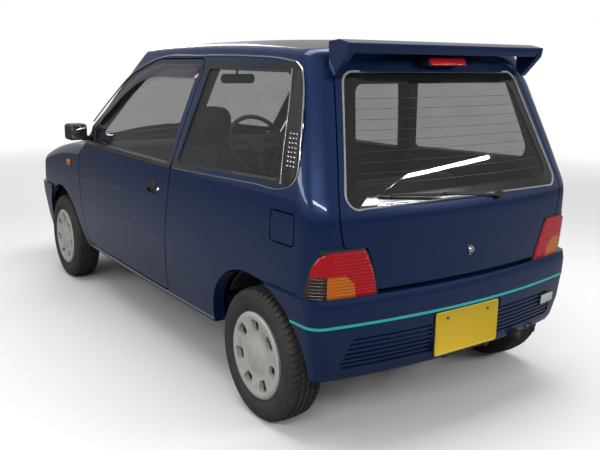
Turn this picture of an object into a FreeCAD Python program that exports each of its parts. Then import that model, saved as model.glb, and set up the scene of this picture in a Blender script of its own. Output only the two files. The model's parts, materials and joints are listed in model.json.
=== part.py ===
import FreeCAD, Part
import math
import os
from FreeCAD import Vector

# A three-door kei hatchback in millimetres. +X is forward, +Y is left and +Z is up.
# The origin is on the floor, at mid-length on the centre plane.

# Overall form
HALF_WIDTH = 697.0          # widest point of the body side
SIDE_BOW_R = 31422.0        # plan curvature of the sides
SIDE_BOW_X = -100.0         # where the body is widest
SILL_Z = 275.0
SILL_Y = 651.0
WAIST_Z = 660.0             # height of the widest point
BELT_Z = 879.0
BELT_Y = 688.0
DRIP_Z = 1334.0
DRIP_Y = 565.0
ROOF_Z = 1417.0
ROOF_X = -600.0             # highest point of the roof
ROOF_LONG_R = 11000.0
ROOF_CROSS_R = 4600.0
SCREEN_LOW = (765.0, 905.0)  # centre of the windscreen's lower edge, x and z
SCREEN_TOP = (70.0, 1395.0)
SCREEN_R = 1800.0
BONNET_X = 576.0            # where the bonnet's curve is level
BONNET_Z = 911.0
BONNET_LONG_R = 2800.0
BONNET_CROSS_R = 3800.0
NOSE_X = 1618.0
NOSE_BOW_R = 1700.0
NOSE_KNEE = (1618.0, 560.0)  # the nose's profile, x and z
NOSE_BROW = (1586.0, 720.0)
NOSE_LEAN = 0.253           # above the brow
REAR_BOW_R = 3000.0
REAR_LOW_X = -1622.0        # rear face behind the bumper
REAR_WAIST = (-1637.0, 828.0)
REAR_TOP = (-1423.0, 1318.0)
REAR_LEAN = 0.45            # rear face above the glass, x per z
REAR_CORNER_R = 105.0       # round corners in plan
REAR_CORNER_TAPER = 0.06    # they get tighter above the belt, per mm of height
NOSE_CORNER_R = 130.0
ROOF_EDGE_R = 45.0          # also of the windscreen pillars and the roof's front edge
BONNET_EDGE_FILLET = 70.0

# Walls and gaps
WALL = 50.0                 # whole thickness of the cabin walls and doors
FRONT_WALL = 26.0           # bonnet, fenders and nose
GLASS = 5.0
GLASS_SINK = 3.0            # glass below the outer skin
GAP = 6.0                   # between a moving panel and its neighbour
SEAM = 0.4                  # between fixed panels
SEAT = 0.3                  # between a piece and what it lies on

# Wheels
WHEELBASE = 2260.0
REAR_AXLE_X = -1218.0
FRONT_AXLE_X = REAR_AXLE_X + WHEELBASE
TYRE_R = 254.0
TYRE_W = 145.0
HUB_Z = TYRE_R
TRACK_Y = 600.0             # centre of each tyre
SIDEWALL_R = 203.0          # where the tyre is widest
RIM_R = 152.0
COVER_OPENINGS = 7
STEER_AXIS_Y = 538.0        # steering axis at hub height
STEER_LEAN_DEG = 12.0
FRONT_ARCH_R = 322.0
REAR_ARCH_HIGH = 563.0

# Openings in the body, each corner as x, z and radius at the belt's width
DOOR_DRAFT = 0.10           # the door's edges run forward with depth
DOOR_EDGE = [
    (-443, 298, 30), (-560, 879, 900), (-686, 1331, 34), (-236, 1327, 260), (52, 1249, 500),
    (472, 975, 500), (604, 872, 60), (642, 780, 60), (642, 298, 40),
]
DOOR_WINDOW = [
    (-522, 886, 16), (-636, 1292, 26), (-246, 1288, 250), (30, 1212, 300), (402, 970, 24),
    (392, 886, 14),
]
QUARTER_WINDOW = [(-604, 898, 22), (-714, 1292, 26), (-1290, 1288, 50), (-1392, 926, 60)]
FLAP = [(-1325, 720, 14), (-1325, 829, 14), (-1462, 829, 14), (-1462, 720, 14)]
DOOR_PIN_X = 600.0          # the door hinges' upright axis
DOOR_PIN_DEPTH = 13.0       # under the skin at the lower hinge
DOOR_PIN_HEIGHTS = (560.0, 780.0)
DOOR_HINGE_SKIN = 7.0       # what is left of the door over its hinges
HINGE_R = 5.0
FLAP_T = 12.0
FLAP_POCKET = 34.0          # depth of the pocket behind the flap
FLAP_PIN_X = -1336.0
FLAP_PIN_DEPTH = 4.5
FLAP_PIN_R = 3.0
HATCH = [  # y and z, seen from behind
    (408, 568, 12), (424, 640, 300), (458, 722, 14), (546, 726, 24), (566, 830, 200),
    (452, 1330, 60), (440, 1600, 0),
]
HATCH_PIN = (-1390.0, 1391.0)  # the hatch hinges' axis, x and z
HATCH_PIN_Y = 150.0
SPOILER_Y = 486.0
SPOILER_END_T = 26.0
HATCH_WINDOW = [(540, 850, 40), (430, 1290, 50)]
TAIL_LAMP = [(414, 577, 14), (430, 640, 300), (463, 712, 30), (720, 728, 30), (720, 556, 10)]
BONNET_EDGE = [(760, 590, 30), (1180, 576, 900), (1552, 520, 70)]  # in plan at BONNET_EDGE_Z
BONNET_EDGE_Z = 741.0
BONNET_DRAFT = 0.22         # its edges run forward with height, so that it lifts clear
SCREEN_HOLE = [(84.0, 606.0, 60.0), (806.0, 478.0, 60.0)]  # up the glass, half width, radius
SCREEN_HOLE_LOW = (14.0, 0.0, 2600.0)  # its lower edge bends down to the middle
HEADLAMP = [(330, 560, 16), (330, 692, 30), (720, 700, 20), (720, 560, 20)]
HATCH_FRONT_X = -1386.0     # gap between roof and hatch
HATCH_LIP_Z = DRIP_Z - 40   # the hatch's inner edge passes under the roof up to here
LAMP_SIDE = [(-1800, 500, 0), (-1497, 500, 0), (-1582, 728, 40), (-1800, 728, 0)]
HANDLE = [(-322, 742, 14), (-322, 794, 14), (-414, 794, 14), (-414, 742, 14)]
HANDLE_DEPTH = 14.0
LOUVRES = [(178, 300, 14), (172, 410, 14), (512, 410, 20), (562, 300, 20)]  # from behind
LOUVRE_DEPTH = 14.0
LOUVRE_COUNT = 6
PLATE_POCKET = [(178, 276, 10), (178, 450, 10)]
PLATE_FLOOR_X = -1634.0
COWL_X = 796.0
COWL_Y = 559.0
COWL_SINK = 20.0            # the cowl lies this far under the bonnet's crown
COWL_WALL = 6.0
BONNET_PIN = (782.0, 884.0)  # the bonnet hinges' axis, x and z
BONNET_PIN_Y = 300.0
SILL_INNER_Y = 545.0
SILL_REAR_X = -840.0
POST_X = 656.0              # the post that carries the door's hinges
POST_Y = 608.0
POST_TOP = 830.0
FRONT_DOOR_X = 642.0
FENDER_X = FRONT_DOOR_X + 5  # a wider gap, as the door's front edge swings out a little
BUMPER_TOP = 556.0
BUMPER_REAR_X = -1647.5
BUMPER_FRONT_X = 1647.5
BUMPER_LOW = 254.0
BUMPER_WALL = 26.0
BUMPER_PROUD = 12.0         # stands this far out of the body's sides
REAR_BUMPER_R = 62.0        # round corners in plan
FRONT_BUMPER_R = 130.0
PLATE_HOLE_SPACING = 210.0
PLATE_HOLE_R = 3.5
PLATE_Z = 420.0

WIPER_PIVOT_X = 750.0
WIPER_PIVOTS_Y = (-395.0, 60.0)
WIPER_WAY = 1               # the parked blades point to the left
WIPER_UP = 70.0             # parked blade above the glass's lower edge
WIPER_LENGTH = 400.0
WIPER_R = 5.0

EXHAUST_R = 18.0
EXHAUST_ROUTE = [(-1460, -200, 280), (-1290, -200, 206), (-1080, -170, 204), (-700, -40, 226), (300, -40, 238)]

# Inside
FLOOR_Z = 268.0
FLOOR_T = 14.0
REAR_FLOOR_Z = 430.0
RAIL_Y = 330.0
RAIL_W = 60.0
RAIL_H = 80.0
APRON_RAIL_Z = 330.0        # under the front rails
WHEEL_WELL_Y = 500.0        # the rear wheel wells' inner wall
WHEEL_HOUSE_R = 324.0
WHEEL_HOUSE_Y = 636.0
REAR_PANEL_X = -1588.0      # outer face of the panel behind the rear bumper
REAR_PANEL_T = 12.0
BULKHEAD_X = 706.0
SEAT_Y = 305.0
SEAT_W = 470.0
STEERING_X = 360.0          # middle of the steering wheel
STEERING_Z = 830.0
STEERING_R = 185.0
COLUMN_LEAN_DEG = 62.0
COLUMN_R = 30.0
COLUMN_PIN_R = 12.0
COLUMN_SHROUD = 42.0        # start of the column's shroud ahead of the wheel's middle
COLUMN_DEPTH = 160.0
ENGINE = (430.0, 360.0, 400.0)
ENGINE_AT = (1030.0, 60.0, 330.0)

os.makedirs("parts", exist_ok=True)


def save(name, shape):
    shape.exportStep("parts/%s.step" % name)


def mirrored(shape):
    return shape.mirror(Vector(0, 0, 0), Vector(0, 1, 0))


def both(shape):
    return Part.makeCompound([shape, mirrored(shape)])


def box(low, high):
    size = Vector(*high) - Vector(*low)
    return Part.makeBox(size.x, size.y, size.z, Vector(*low))


def biggest(shape):
    return max(shape.Solids, key=lambda solid: solid.Volume)


def cylinder(radius, start, end):
    start, end = Vector(*start), Vector(*end)
    return Part.makeCylinder(radius, (end - start).Length, start, end - start)


def tube(points, radius, bend):
    """A round bar along straight runs that are joined by arcs of one radius."""
    points = [Vector(*point) for point in points]
    pieces, start = [], points[0]
    for before, here, after in zip(points, points[1:], points[2:]):
        a = (before - here).normalize()
        b = (after - here).normalize()
        half = a.getAngle(b) / 2
        first = here + a * (bend / math.tan(half))
        last = here + b * (bend / math.tan(half))
        centre = here + (a + b).normalize() * (bend / math.sin(half))
        disc = Part.Face(Part.Wire(Part.makeCircle(radius, first, a)))
        turn = (first - centre).cross(last - centre)
        pieces += [cylinder(radius, tuple(start), tuple(first)),
                   disc.revolve(centre, turn, 180 - 2 * math.degrees(half))]
        start = last
    pieces.append(cylinder(radius, tuple(start), tuple(points[-1])))
    return pieces[0].fuse(pieces[1:])


def side_view(u, v):
    return Vector(u, 0, v)


def rear_view(u, v):
    return Vector(0, u, v)


def plan_view(u, v):
    return Vector(u, v, 0)


def grown(corners, grow):
    """Each side of a closed outline moved outwards by grow, and its corner radii with it."""
    points = [Vector(u, v, 0) for u, v, _ in corners]
    count = len(points)
    turn = sum(points[i - 1].x * points[i].y - points[i].x * points[i - 1].y for i in range(count))
    way = 1.0 if turn > 0 else -1.0
    result = []
    for i in range(count):
        before, here, after = points[i - 1], points[i], points[(i + 1) % count]
        a = (here - before).normalize()
        b = (after - here).normalize()
        out_a = Vector(a.y, -a.x, 0) * way
        out_b = Vector(b.y, -b.x, 0) * way
        shift = (out_a + out_b) * (grow / (1.0 + out_a.dot(out_b)))
        bends_out = (a.x * b.y - a.y * b.x) * way > 0
        radius = corners[i][2]
        if radius > 0:
            radius = max(radius + (grow if bends_out else -grow), 1.0)
        result.append((here.x + shift.x, here.y + shift.y, radius))
    return result


def outline(corners, view):
    """A closed wire of straight sides with an arc at each corner that has a radius."""
    points = [Vector(u, v, 0) for u, v, _ in corners]
    count = len(points)
    cuts = []
    for i in range(count):
        here = points[i]
        a = (points[i - 1] - here).normalize()
        b = (points[(i + 1) % count] - here).normalize()
        half = math.acos(max(-1.0, min(1.0, a.dot(b)))) / 2
        radius = corners[i][2]
        reach = radius / math.tan(half)
        middle = here + (a + b).normalize() * (radius / math.sin(half) - radius) if radius else here
        cuts.append((here + a * reach, middle, here + b * reach))
    edges = []
    for i in range(count):
        start, middle, end = [view(p.x, p.y) for p in cuts[i]]
        if corners[i][2] > 0:
            edges.append(Part.Arc(start, middle, end).toShape())
        following = cuts[(i + 1) % count][0]
        edges.append(Part.LineSegment(end, view(following.x, following.y)).toShape())
    return Part.Wire(edges)


def prism(corners, view, grow, start, vector):
    face = Part.Face(outline(grown(corners, grow), view))
    face.translate(start)
    return face.extrude(vector)


def profile(points, view):
    """A face from rows of u, v or of u, v with a point that the arc to them passes."""
    edges = []
    for i, row in enumerate(points):
        before = points[i - 1]
        start, end = view(*before[:2]), view(*row[:2])
        if len(row) == 4:
            edges.append(Part.Arc(start, view(*row[2:]), end).toShape())
        else:
            edges.append(Part.LineSegment(start, end).toShape())
    return Part.Face(Part.Wire(edges))


def picked(shape, test):
    return [edge for edge in shape.Edges if test(edge.CenterOfMass, edge.Length)]


# The body's outer and inner surfaces come from the same few curves, each moved inwards by inset.

REAR_BOW_X = REAR_WAIST[0] + REAR_BOW_R
NOSE_BOW_X = NOSE_X - NOSE_BOW_R
BASE_Z = 60.0
HIGH_Z = 1620.0
HULL_STEPS = 24             # evenly spaced outlines that the hull is lofted through


def side_form(inset):
    """All that lies right of the left body side: a cross-section swung along the side's bow."""
    def at(y, z):
        return Vector(SIDE_BOW_X, y, z)
    low_r = ((HALF_WIDTH - SILL_Y) ** 2 + (WAIST_Z - SILL_Z) ** 2) / (2 * (HALF_WIDTH - SILL_Y))
    mid_z = (SILL_Z + WAIST_Z) / 2
    mid_y = HALF_WIDTH - low_r + math.sqrt(low_r ** 2 - (WAIST_Z - mid_z) ** 2)
    up_r = ((HALF_WIDTH - BELT_Y) ** 2 + (BELT_Z - WAIST_Z) ** 2) / (2 * (HALF_WIDTH - BELT_Y))
    up_z = (WAIST_Z + BELT_Z) / 2
    up_y = HALF_WIDTH - up_r + math.sqrt(up_r ** 2 - (up_z - WAIST_Z) ** 2)
    glass_y = (BELT_Y + DRIP_Y) / 2 + 5
    roof_y = DRIP_Y - 40
    rows = [
        (-1000, BASE_Z), (SILL_Y - 18 - inset, BASE_Z), (SILL_Y - inset, SILL_Z),
        (HALF_WIDTH - inset, WAIST_Z, mid_y - inset, mid_z),
        (BELT_Y - inset, BELT_Z, up_y - inset, up_z),
        (DRIP_Y - inset, DRIP_Z, glass_y - inset, (BELT_Z + DRIP_Z) / 2),
        (roof_y - inset, DRIP_Z + 110), (roof_y - inset, HIGH_Z), (-1000, HIGH_Z),
    ]
    face = profile(rows, at)
    axis = Vector(SIDE_BOW_X, HALF_WIDTH - SIDE_BOW_R, 0)
    face.rotate(axis, Vector(0, 0, 1), -3.4)
    return face.revolve(axis, Vector(0, 0, 1), 6.8)


def bowed(rows, axis_x, start_deg):
    face = profile(rows, side_view)
    axis = Vector(axis_x, 0, 0)
    face.rotate(axis, Vector(0, 0, 1), start_deg)
    return face.revolve(axis, Vector(0, 0, 1), -2 * start_deg)


def on_arc(start, middle, end, v):
    """u at one v on the arc through three points, each a pair of u and v."""
    (a, b), (c, d), (e, f) = start, middle, end
    double = 2 * (a * (d - f) + c * (f - b) + e * (b - d))
    squares = (a * a + b * b, c * c + d * d, e * e + f * f)
    u = (squares[0] * (d - f) + squares[1] * (f - b) + squares[2] * (b - d)) / double
    w = (squares[0] * (e - c) + squares[1] * (a - e) + squares[2] * (c - a)) / double
    reach = math.sqrt((a - u) ** 2 + (b - w) ** 2 - (v - w) ** 2)
    return u + math.copysign(reach, c - u)


def rear_x(z):
    """The rear face's centre profile."""
    waist_x, waist_z = REAR_WAIST
    top_x, top_z = REAR_TOP
    if z < BUMPER_TOP:
        return REAR_LOW_X
    if z < waist_z:
        middle = ((waist_x + REAR_LOW_X) / 2 - 3, (BUMPER_TOP + waist_z) / 2)
        return on_arc((REAR_LOW_X, BUMPER_TOP), middle, REAR_WAIST, z)
    if z < top_z:
        middle = ((waist_x + top_x) / 2 - 4, (waist_z + top_z) / 2)
        return on_arc(REAR_WAIST, middle, REAR_TOP, z)
    return top_x + (z - top_z) * REAR_LEAN


def nose_x(z):
    """The nose's centre profile."""
    if z < NOSE_KNEE[1]:
        return NOSE_X - 10 + 10 * (z - BASE_Z) / (NOSE_KNEE[1] - BASE_Z)
    if z < NOSE_BROW[1]:
        way = (z - NOSE_KNEE[1]) / (NOSE_BROW[1] - NOSE_KNEE[1])
        return NOSE_X + (NOSE_BROW[0] - NOSE_X) * way
    return NOSE_BROW[0] - (z - NOSE_BROW[1]) * NOSE_LEAN


def body_y(z):
    """Half width of the body where it is widest, at one height."""
    if z < SILL_Z:
        return SILL_Y - 18 + 18 * (z - BASE_Z) / (SILL_Z - BASE_Z)
    if z < BELT_Z:
        drop, rise = HALF_WIDTH - SILL_Y, WAIST_Z - SILL_Z
        if z > WAIST_Z:
            drop, rise = HALF_WIDTH - BELT_Y, BELT_Z - WAIST_Z
        radius = (drop ** 2 + rise ** 2) / (2 * drop)
        return HALF_WIDTH - radius + math.sqrt(radius ** 2 - (z - WAIST_Z) ** 2)
    if z < DRIP_Z:
        middle = ((BELT_Y + DRIP_Y) / 2 + 5, (BELT_Z + DRIP_Z) / 2)
        return on_arc((BELT_Y, BELT_Z), middle, (DRIP_Y, DRIP_Z), z)
    return DRIP_Y - 40 * (z - DRIP_Z) / 110


def skin_y(x, z):
    """Half width of the body at one place along it and one height."""
    return body_y(z) - SIDE_BOW_R + math.sqrt(SIDE_BOW_R ** 2 - (x - SIDE_BOW_X) ** 2)


def plan_outline(z, half_width, end_x, bow_x, corner, far_x):
    """The outline in plan at one height: a bowed end, its round corners and the two sides."""
    way = math.copysign(1, end_x)
    bow_r = abs(end_x - bow_x)
    bow = Vector(bow_x, 0, z)
    side = Vector(SIDE_BOW_X, half_width - SIDE_BOW_R, z)
    near, far = bow_r - corner, SIDE_BOW_R - corner
    apart = (side - bow).Length
    along = (near ** 2 - far ** 2 + apart ** 2) / (2 * apart)
    line = (side - bow).normalize()
    across = Vector(-line.y, line.x, 0) * math.copysign(math.sqrt(near ** 2 - along ** 2), -line.y * way)
    centre = bow + line * along + across
    end_out = (centre - bow).normalize()
    side_out = (centre - side).normalize()
    rear = bow + end_out * bow_r
    middle = centre + (end_out + side_out).normalize() * corner
    front = side + side_out * SIDE_BOW_R
    def on_side(x):
        return Vector(x, side.y + math.sqrt(SIDE_BOW_R ** 2 - (x - side.x) ** 2), z)
    def over(point):
        return Vector(point.x, -point.y, z)
    halfway, last = on_side((front.x + far_x) / 2), on_side(far_x)
    arcs = [
        (over(rear), Vector(end_x, 0, z), rear), (rear, middle, front), (front, halfway, last),
        (over(last), over(halfway), over(front)), (over(front), over(middle), over(rear)),
    ]
    edges = [Part.Arc(*points).toShape() for points in arcs]
    edges.insert(3, Part.LineSegment(last, over(last)).toShape())
    return Part.Wire(edges)


def hull(inset, end):
    """The body without its roof and bonnet, from the rear face or the nose to the middle."""
    rows = []
    for step in range(HULL_STEPS + 1):
        z = BASE_Z + (HIGH_Z - BASE_Z) * step / HULL_STEPS
        half_width = body_y(z) - inset
        if end == "rear":
            corner = REAR_CORNER_R - max(z - BELT_Z, 0) * REAR_CORNER_TAPER - inset
            rows.append(plan_outline(z, half_width, rear_x(z) + inset, REAR_BOW_X, corner, COWL_X + 40))
        else:
            corner = NOSE_CORNER_R - inset
            rows.append(plan_outline(z, half_width, nose_x(z) - inset, NOSE_BOW_X, corner, FRONT_DOOR_X - 60))
    return Part.makeLoft(rows, True, False)


def crown_z(x, y):
    """Height of the bonnet's crown at a point in plan."""
    cross = BONNET_CROSS_R - math.sqrt(BONNET_CROSS_R ** 2 - y ** 2)
    radius = BONNET_LONG_R - cross
    return BONNET_Z - BONNET_LONG_R + math.sqrt(radius ** 2 - (x - BONNET_X) ** 2)


def crowned(x, z, long_r, cross_r, inset):
    """All that lies under a crowned surface: a cross arc swung along a larger long arc."""
    half = 1000.0
    top = z - inset
    edge_z = top - cross_r + math.sqrt(cross_r ** 2 - half ** 2)
    low_z = top - 1460
    def at(y, z_here):
        return Vector(x, y, z_here)
    face = profile([(-half, low_z), (-half, edge_z), (half, edge_z, 0, top), (half, low_z)], at)
    swing = math.degrees(math.asin(1500.0 / long_r))
    axis = Vector(x, 0, z - long_r)
    face.rotate(axis, Vector(0, 1, 0), -swing)
    return face.revolve(axis, Vector(0, 1, 0), 2 * swing)


def screen_frame():
    """The windscreen's direction up the glass and its outward direction."""
    low = Vector(SCREEN_LOW[0], 0, SCREEN_LOW[1])
    up = (Vector(SCREEN_TOP[0], 0, SCREEN_TOP[1]) - low).normalize()
    return low, up, Vector(up.z, 0, -up.x)


def screen_form(inset):
    low, up, out = screen_frame()
    start = low - out * SCREEN_R - up * 2600
    return Part.makeCylinder(SCREEN_R - inset, 5200, start, up)


def cabin_form(inset):
    form = hull(inset, "rear").common(crowned(ROOF_X, ROOF_Z, ROOF_LONG_R, ROOF_CROSS_R, inset))
    form = biggest(form.common(screen_form(inset)))
    if inset < ROOF_EDGE_R:
        def is_upper(place, length):
            roof_side = place.z > DRIP_Z - 10 and abs(place.y) > 430 and length > 600
            pillar = place.x > 0 and place.z > 950 and length > 300
            return roof_side or pillar
        form = form.makeFillet(ROOF_EDGE_R - inset, picked(form, is_upper))
    return biggest(form.common(box((-2200, -1500, SILL_Z - 1), (COWL_X + 39, 1500, HIGH_Z))))


def front_form(inset):
    form = hull(inset, "nose").common(
        crowned(BONNET_X, BONNET_Z, BONNET_LONG_R, BONNET_CROSS_R, inset))
    return biggest(form.common(box((FRONT_DOOR_X - 59, -1500, SILL_Z - 1), (2200, 1500, HIGH_Z))))


def rounded_front():
    form = front_form(0)
    shoulder = picked(form, lambda p, n: p.z > 700 and abs(p.y) > 480 and n > 300)
    return form.makeFillet(BONNET_EDGE_FILLET, shoulder)


CABIN = cabin_form(0)
CABIN_IN = cabin_form(WALL)
FRONT = rounded_front()
FRONT_IN = front_form(FRONT_WALL)
CABIN_SHELL = CABIN.cut(CABIN_IN)
FRONT_SHELL = FRONT.cut(FRONT_IN)
GLASS_SHELL = cabin_form(GLASS_SINK).cut(cabin_form(GLASS_SINK + GLASS))


def side_cut(corners, grow, drafted=True, depth=420.0):
    """A prism through the left body side, from well outside to depth inside the belt's width."""
    out = 260.0
    slope = Vector(DOOR_DRAFT if drafted else 0, -1, 0)
    return prism(corners, side_view, grow, Vector(0, BELT_Y, 0) - slope * out, slope * (out + depth))


def rear_cut(corners, grow, both_sides=True, front_x=-1150.0):
    rows = list(corners)
    if both_sides:
        rows = rows + [(-y, z, r) for y, z, r in reversed(corners)]
    return prism(rows, rear_view, grow, Vector(-2000, 0, 0), Vector(2000 + front_x, 0, 0))


def plan_cut(grow):
    rows = BONNET_EDGE + [(x, -y, r) for x, y, r in reversed(BONNET_EDGE)]
    slope = Vector(BONNET_DRAFT, 0, 1)
    start = Vector(0, 0, BONNET_EDGE_Z) - slope * 35
    return prism(rows, plan_view, grow, start, slope * 600)


def screen_cut(grow):
    """A prism through the windscreen, square to the glass."""
    low, up, out = screen_frame()
    def at(u, v):
        return low + up * u + Vector(0, v, 0)
    rows = [SCREEN_HOLE_LOW] + SCREEN_HOLE + [(u, -v, r) for u, v, r in reversed(SCREEN_HOLE)]
    return prism(rows, at, grow, out * -260, out * 400)


def rear_arch(grow):
    """The rear wheel arch: two arcs that meet over the wheel."""
    top = REAR_ARCH_HIGH + grow
    half_front, half_rear = 356.0 + grow, 290.0 + grow
    low = 200.0
    x = REAR_AXLE_X
    front_mid = (x + half_front * 0.80, HUB_Z + (top - HUB_Z) * 0.66)
    rear_mid = (x - half_rear * 0.78, HUB_Z + (top - HUB_Z) * 0.68)
    rows = [
        (x - half_rear, low), (x + half_front, low), (x + half_front, HUB_Z + 20),
        (x, top, *front_mid), (x - half_rear, HUB_Z + 20, *rear_mid),
    ]
    face = profile(rows, side_view)
    face.translate(Vector(0, 1000, 0))
    return face.extrude(Vector(0, -1000 + WHEEL_WELL_Y, 0))


def front_arch(grow, inner_y=380.0):
    centre = (FRONT_AXLE_X, inner_y, HUB_Z)
    return cylinder(FRONT_ARCH_R + grow, centre, (FRONT_AXLE_X, 1000, HUB_Z)).fuse(
        box((FRONT_AXLE_X - 300, inner_y, 0), (FRONT_AXLE_X + 300, 1000, HUB_Z - 60)))


def make_side_panel():
    """Left body side: sill, both pillars, roof rail and rear quarter, with its windows cut."""
    rail_y = DRIP_Y - 62
    panel = CABIN_SHELL.common(box((-2300, 0, 0), (2300, 1500, HIGH_Z)))
    panel = panel.cut(side_cut(DOOR_EDGE, GAP / 2)).cut(side_cut(QUARTER_WINDOW, 0, False))
    panel = panel.common(box((-2000, 0, SILL_Z - 1), (FRONT_DOOR_X, 1000, HIGH_Z)))
    panel = panel.cut(box((HATCH_FRONT_X - SEAM, -1, DRIP_Z - 60), (SCREEN_TOP[0] + 300, rail_y, HIGH_Z)))
    panel = panel.cut(rear_cut(HATCH, GAP)).cut(tail_lamp_zone(SEAM))
    panel = panel.cut(screen_cut(0)).cut(rear_arch(0))
    panel = panel.cut(box((-2000, -1, 0), (-1500, 404, BUMPER_TOP + 12)))
    panel = panel.cut(box((-2000, -1, 0), (REAR_AXLE_X - 70, 1000, BUMPER_TOP + SEAM)))
    post = box((POST_X, SILL_INNER_Y, SILL_Z), (POST_X + 40, POST_Y, POST_TOP))
    sill = box((SILL_REAR_X, SILL_INNER_Y, SILL_Z), (POST_X + 40, SILL_INNER_Y + 25, SILL_Z + 90))
    flange = box((SILL_REAR_X, SILL_INNER_Y, SILL_Z), (POST_X + 40, 606, SILL_Z + 16))
    arms = [door_hinge_arm(z) for z in DOOR_PIN_HEIGHTS]
    return biggest(panel.fuse([post, sill, flange] + arms).removeSplitter())


def make_roof_panel():
    rail_y = DRIP_Y - 62 - SEAM
    zone = box((HATCH_FRONT_X, -rail_y, DRIP_Z - 60), (SCREEN_TOP[0] + 300, rail_y, HIGH_Z))
    lip = box((HATCH_FRONT_X - 1, -900, 0), (HATCH_FRONT_X + 70, 900, HATCH_LIP_Z + GAP))
    roof = CABIN_SHELL.common(zone).cut(screen_cut(0)).cut(lip)
    x, z = HATCH_PIN
    pieces = []
    for side in (-1, 1):
        for at in (-20, 8 + SEAT):
            y = side * HATCH_PIN_Y + at
            leaf = box((x, y, z - 4), (x + 34, y + 12 - SEAT, z + 4)).fuse(
                box((x + 8, y, z - 24), (x + 34, y + 12 - SEAT, z)))
            pieces += [leaf, cylinder(HINGE_R, (x, y, z), (x, y + 12 - SEAT, z))]
    return biggest(roof.fuse(pieces))


def door_pin():
    return DOOR_PIN_X, skin_y(DOOR_PIN_X, DOOR_PIN_HEIGHTS[0]) - DOOR_PIN_DEPTH


def make_door():
    door = CABIN.cut(side_form(WALL)).common(side_cut(DOOR_EDGE, -GAP / 2))
    door = door.cut(side_cut(DOOR_WINDOW, 0))
    door = door.cut(CABIN.cut(cabin_form(HANDLE_DEPTH)).common(side_cut(HANDLE, 0)))
    x, y = door_pin()
    for z in DOOR_PIN_HEIGHTS:
        pocket = box((x - 11, 400, z - 20), (FENDER_X, 700, z + 20)).common(side_form(DOOR_HINGE_SKIN))
        bosses = [cylinder(HINGE_R, (x, y, z + at), (x, y, z + at + 12)) for at in (8 + SEAT, -20.5)]
        door = door.cut(pocket).fuse(bosses)
    return biggest(door)


def door_hinge_arm(z):
    """Body side of a door hinge: from its knuckle inwards and then forward to the post."""
    x, y = door_pin()
    knuckle = cylinder(HINGE_R, (x, y, z - 8), (x, y, z + 8))
    inward = box((x - 4, POST_Y - 8, z - 8), (x + 4, y, z + 8))
    forward = box((x - 4, POST_Y - 8, z - 8), (POST_X + 1, POST_Y, z + 8))
    return knuckle.fuse([inward, forward])


def make_door_glass():
    return biggest(GLASS_SHELL.common(side_cut(DOOR_WINDOW, -SEAT)))


def make_quarter_glass():
    return biggest(GLASS_SHELL.common(side_cut(QUARTER_WINDOW, -SEAT, False)))


def make_windscreen():
    return biggest(GLASS_SHELL.common(screen_cut(-SEAT)))


def make_hatch():
    zone = rear_cut(HATCH, 0).cut(box((HATCH_FRONT_X - GAP, -900, HATCH_LIP_Z), (0, 900, HIGH_Z)))
    hatch = CABIN_SHELL.common(zone).cut(rear_cut(HATCH_WINDOW, 0))
    x, z = HATCH_PIN
    pieces = []
    for y in (-HATCH_PIN_Y, HATCH_PIN_Y):
        leaf = box((x - 5.5, y - 8, z - 51), (x + 2, y + 8, z))
        pieces += [leaf, cylinder(HINGE_R, (x, y - 8, z), (x, y + 8, z))]
    return biggest(hatch.fuse(pieces))


def make_hatch_glass():
    return biggest(GLASS_SHELL.common(rear_cut(HATCH_WINDOW, -SEAT)))


def make_spoiler():
    """A low wing along the hatch's upper edge, with a plate at each end that runs down the body."""
    wing = [
        (-1396, 1390), (-1396, 1366), (-1430, 1352), (-1494, 1350), (-1506, 1384, -1504, 1368),
        (-1450, 1396),
    ]
    plate = [
        (-1396, 1390), (-1400, 1300), (-1428, 1276), (-1500, 1350), (-1506, 1384, -1504, 1368),
        (-1450, 1396),
    ]
    face = profile(wing, side_view)
    face.translate(Vector(0, -SPOILER_Y, 0))
    spoiler = face.extrude(Vector(0, 2 * SPOILER_Y, 0))
    face = profile(plate, side_view)
    face.translate(Vector(0, SPOILER_Y - SPOILER_END_T, 0))
    end = face.extrude(Vector(0, SPOILER_END_T, 0)).cut(cabin_form(-GAP))
    return biggest(spoiler.cut(cabin_form(-SEAT)).fuse([end, mirrored(end)]))


def make_fuel_flap():
    skin = CABIN.cut(cabin_form(FLAP_T))
    return biggest(skin.common(side_cut(FLAP, -GAP / 2, False)))


def cut_flap_pocket(side):
    """The filler's pocket in the left side, with the two pins that the flap turns on."""
    pocket = side_cut(FLAP, GAP / 2, False).common(CABIN.cut(cabin_form(FLAP_POCKET)))
    low, high = FLAP[0][1], FLAP[1][1]
    x, y = FLAP_PIN_X, skin_y(FLAP_PIN_X, (low + high) / 2) - FLAP_PIN_DEPTH
    pins = [
        cylinder(FLAP_PIN_R, (x, y, low - GAP / 2 - 1), (x, y, low + GAP / 2 - SEAT)),
        cylinder(FLAP_PIN_R, (x, y, high - GAP / 2 + SEAT), (x, y, high + GAP / 2 + 1)),
    ]
    return side.cut(pocket).fuse(pins)


def make_fender():
    """Left front fender, from the door to the nose."""
    panel = FRONT_SHELL.common(box((FENDER_X, 0, SILL_Z), (2000, 1000, HIGH_Z)))
    panel = panel.cut(plan_cut(GAP)).cut(front_arch(0))
    panel = panel.cut(box((0, -1, 0), (COWL_X, COWL_Y + SEAM, HIGH_Z)))
    panel = panel.cut(box((FRONT_AXLE_X + 200, 0, 0), (2000, 1000, BUMPER_TOP - 4)))
    panel = panel.cut(lamp_cut(SEAM)).cut(box((1400, -1, 0), (2000, 470, HIGH_Z)))
    return biggest(panel)


def lamp_cut(grow):
    face = Part.Face(outline(grown(HEADLAMP, grow), rear_view))
    face.translate(Vector(1466 - grow, 0, 0))
    return face.extrude(Vector(400, 0, 0))


def make_headlamp():
    return biggest(FRONT.cut(front_form(70)).common(lamp_cut(-SEAT)))


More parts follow.
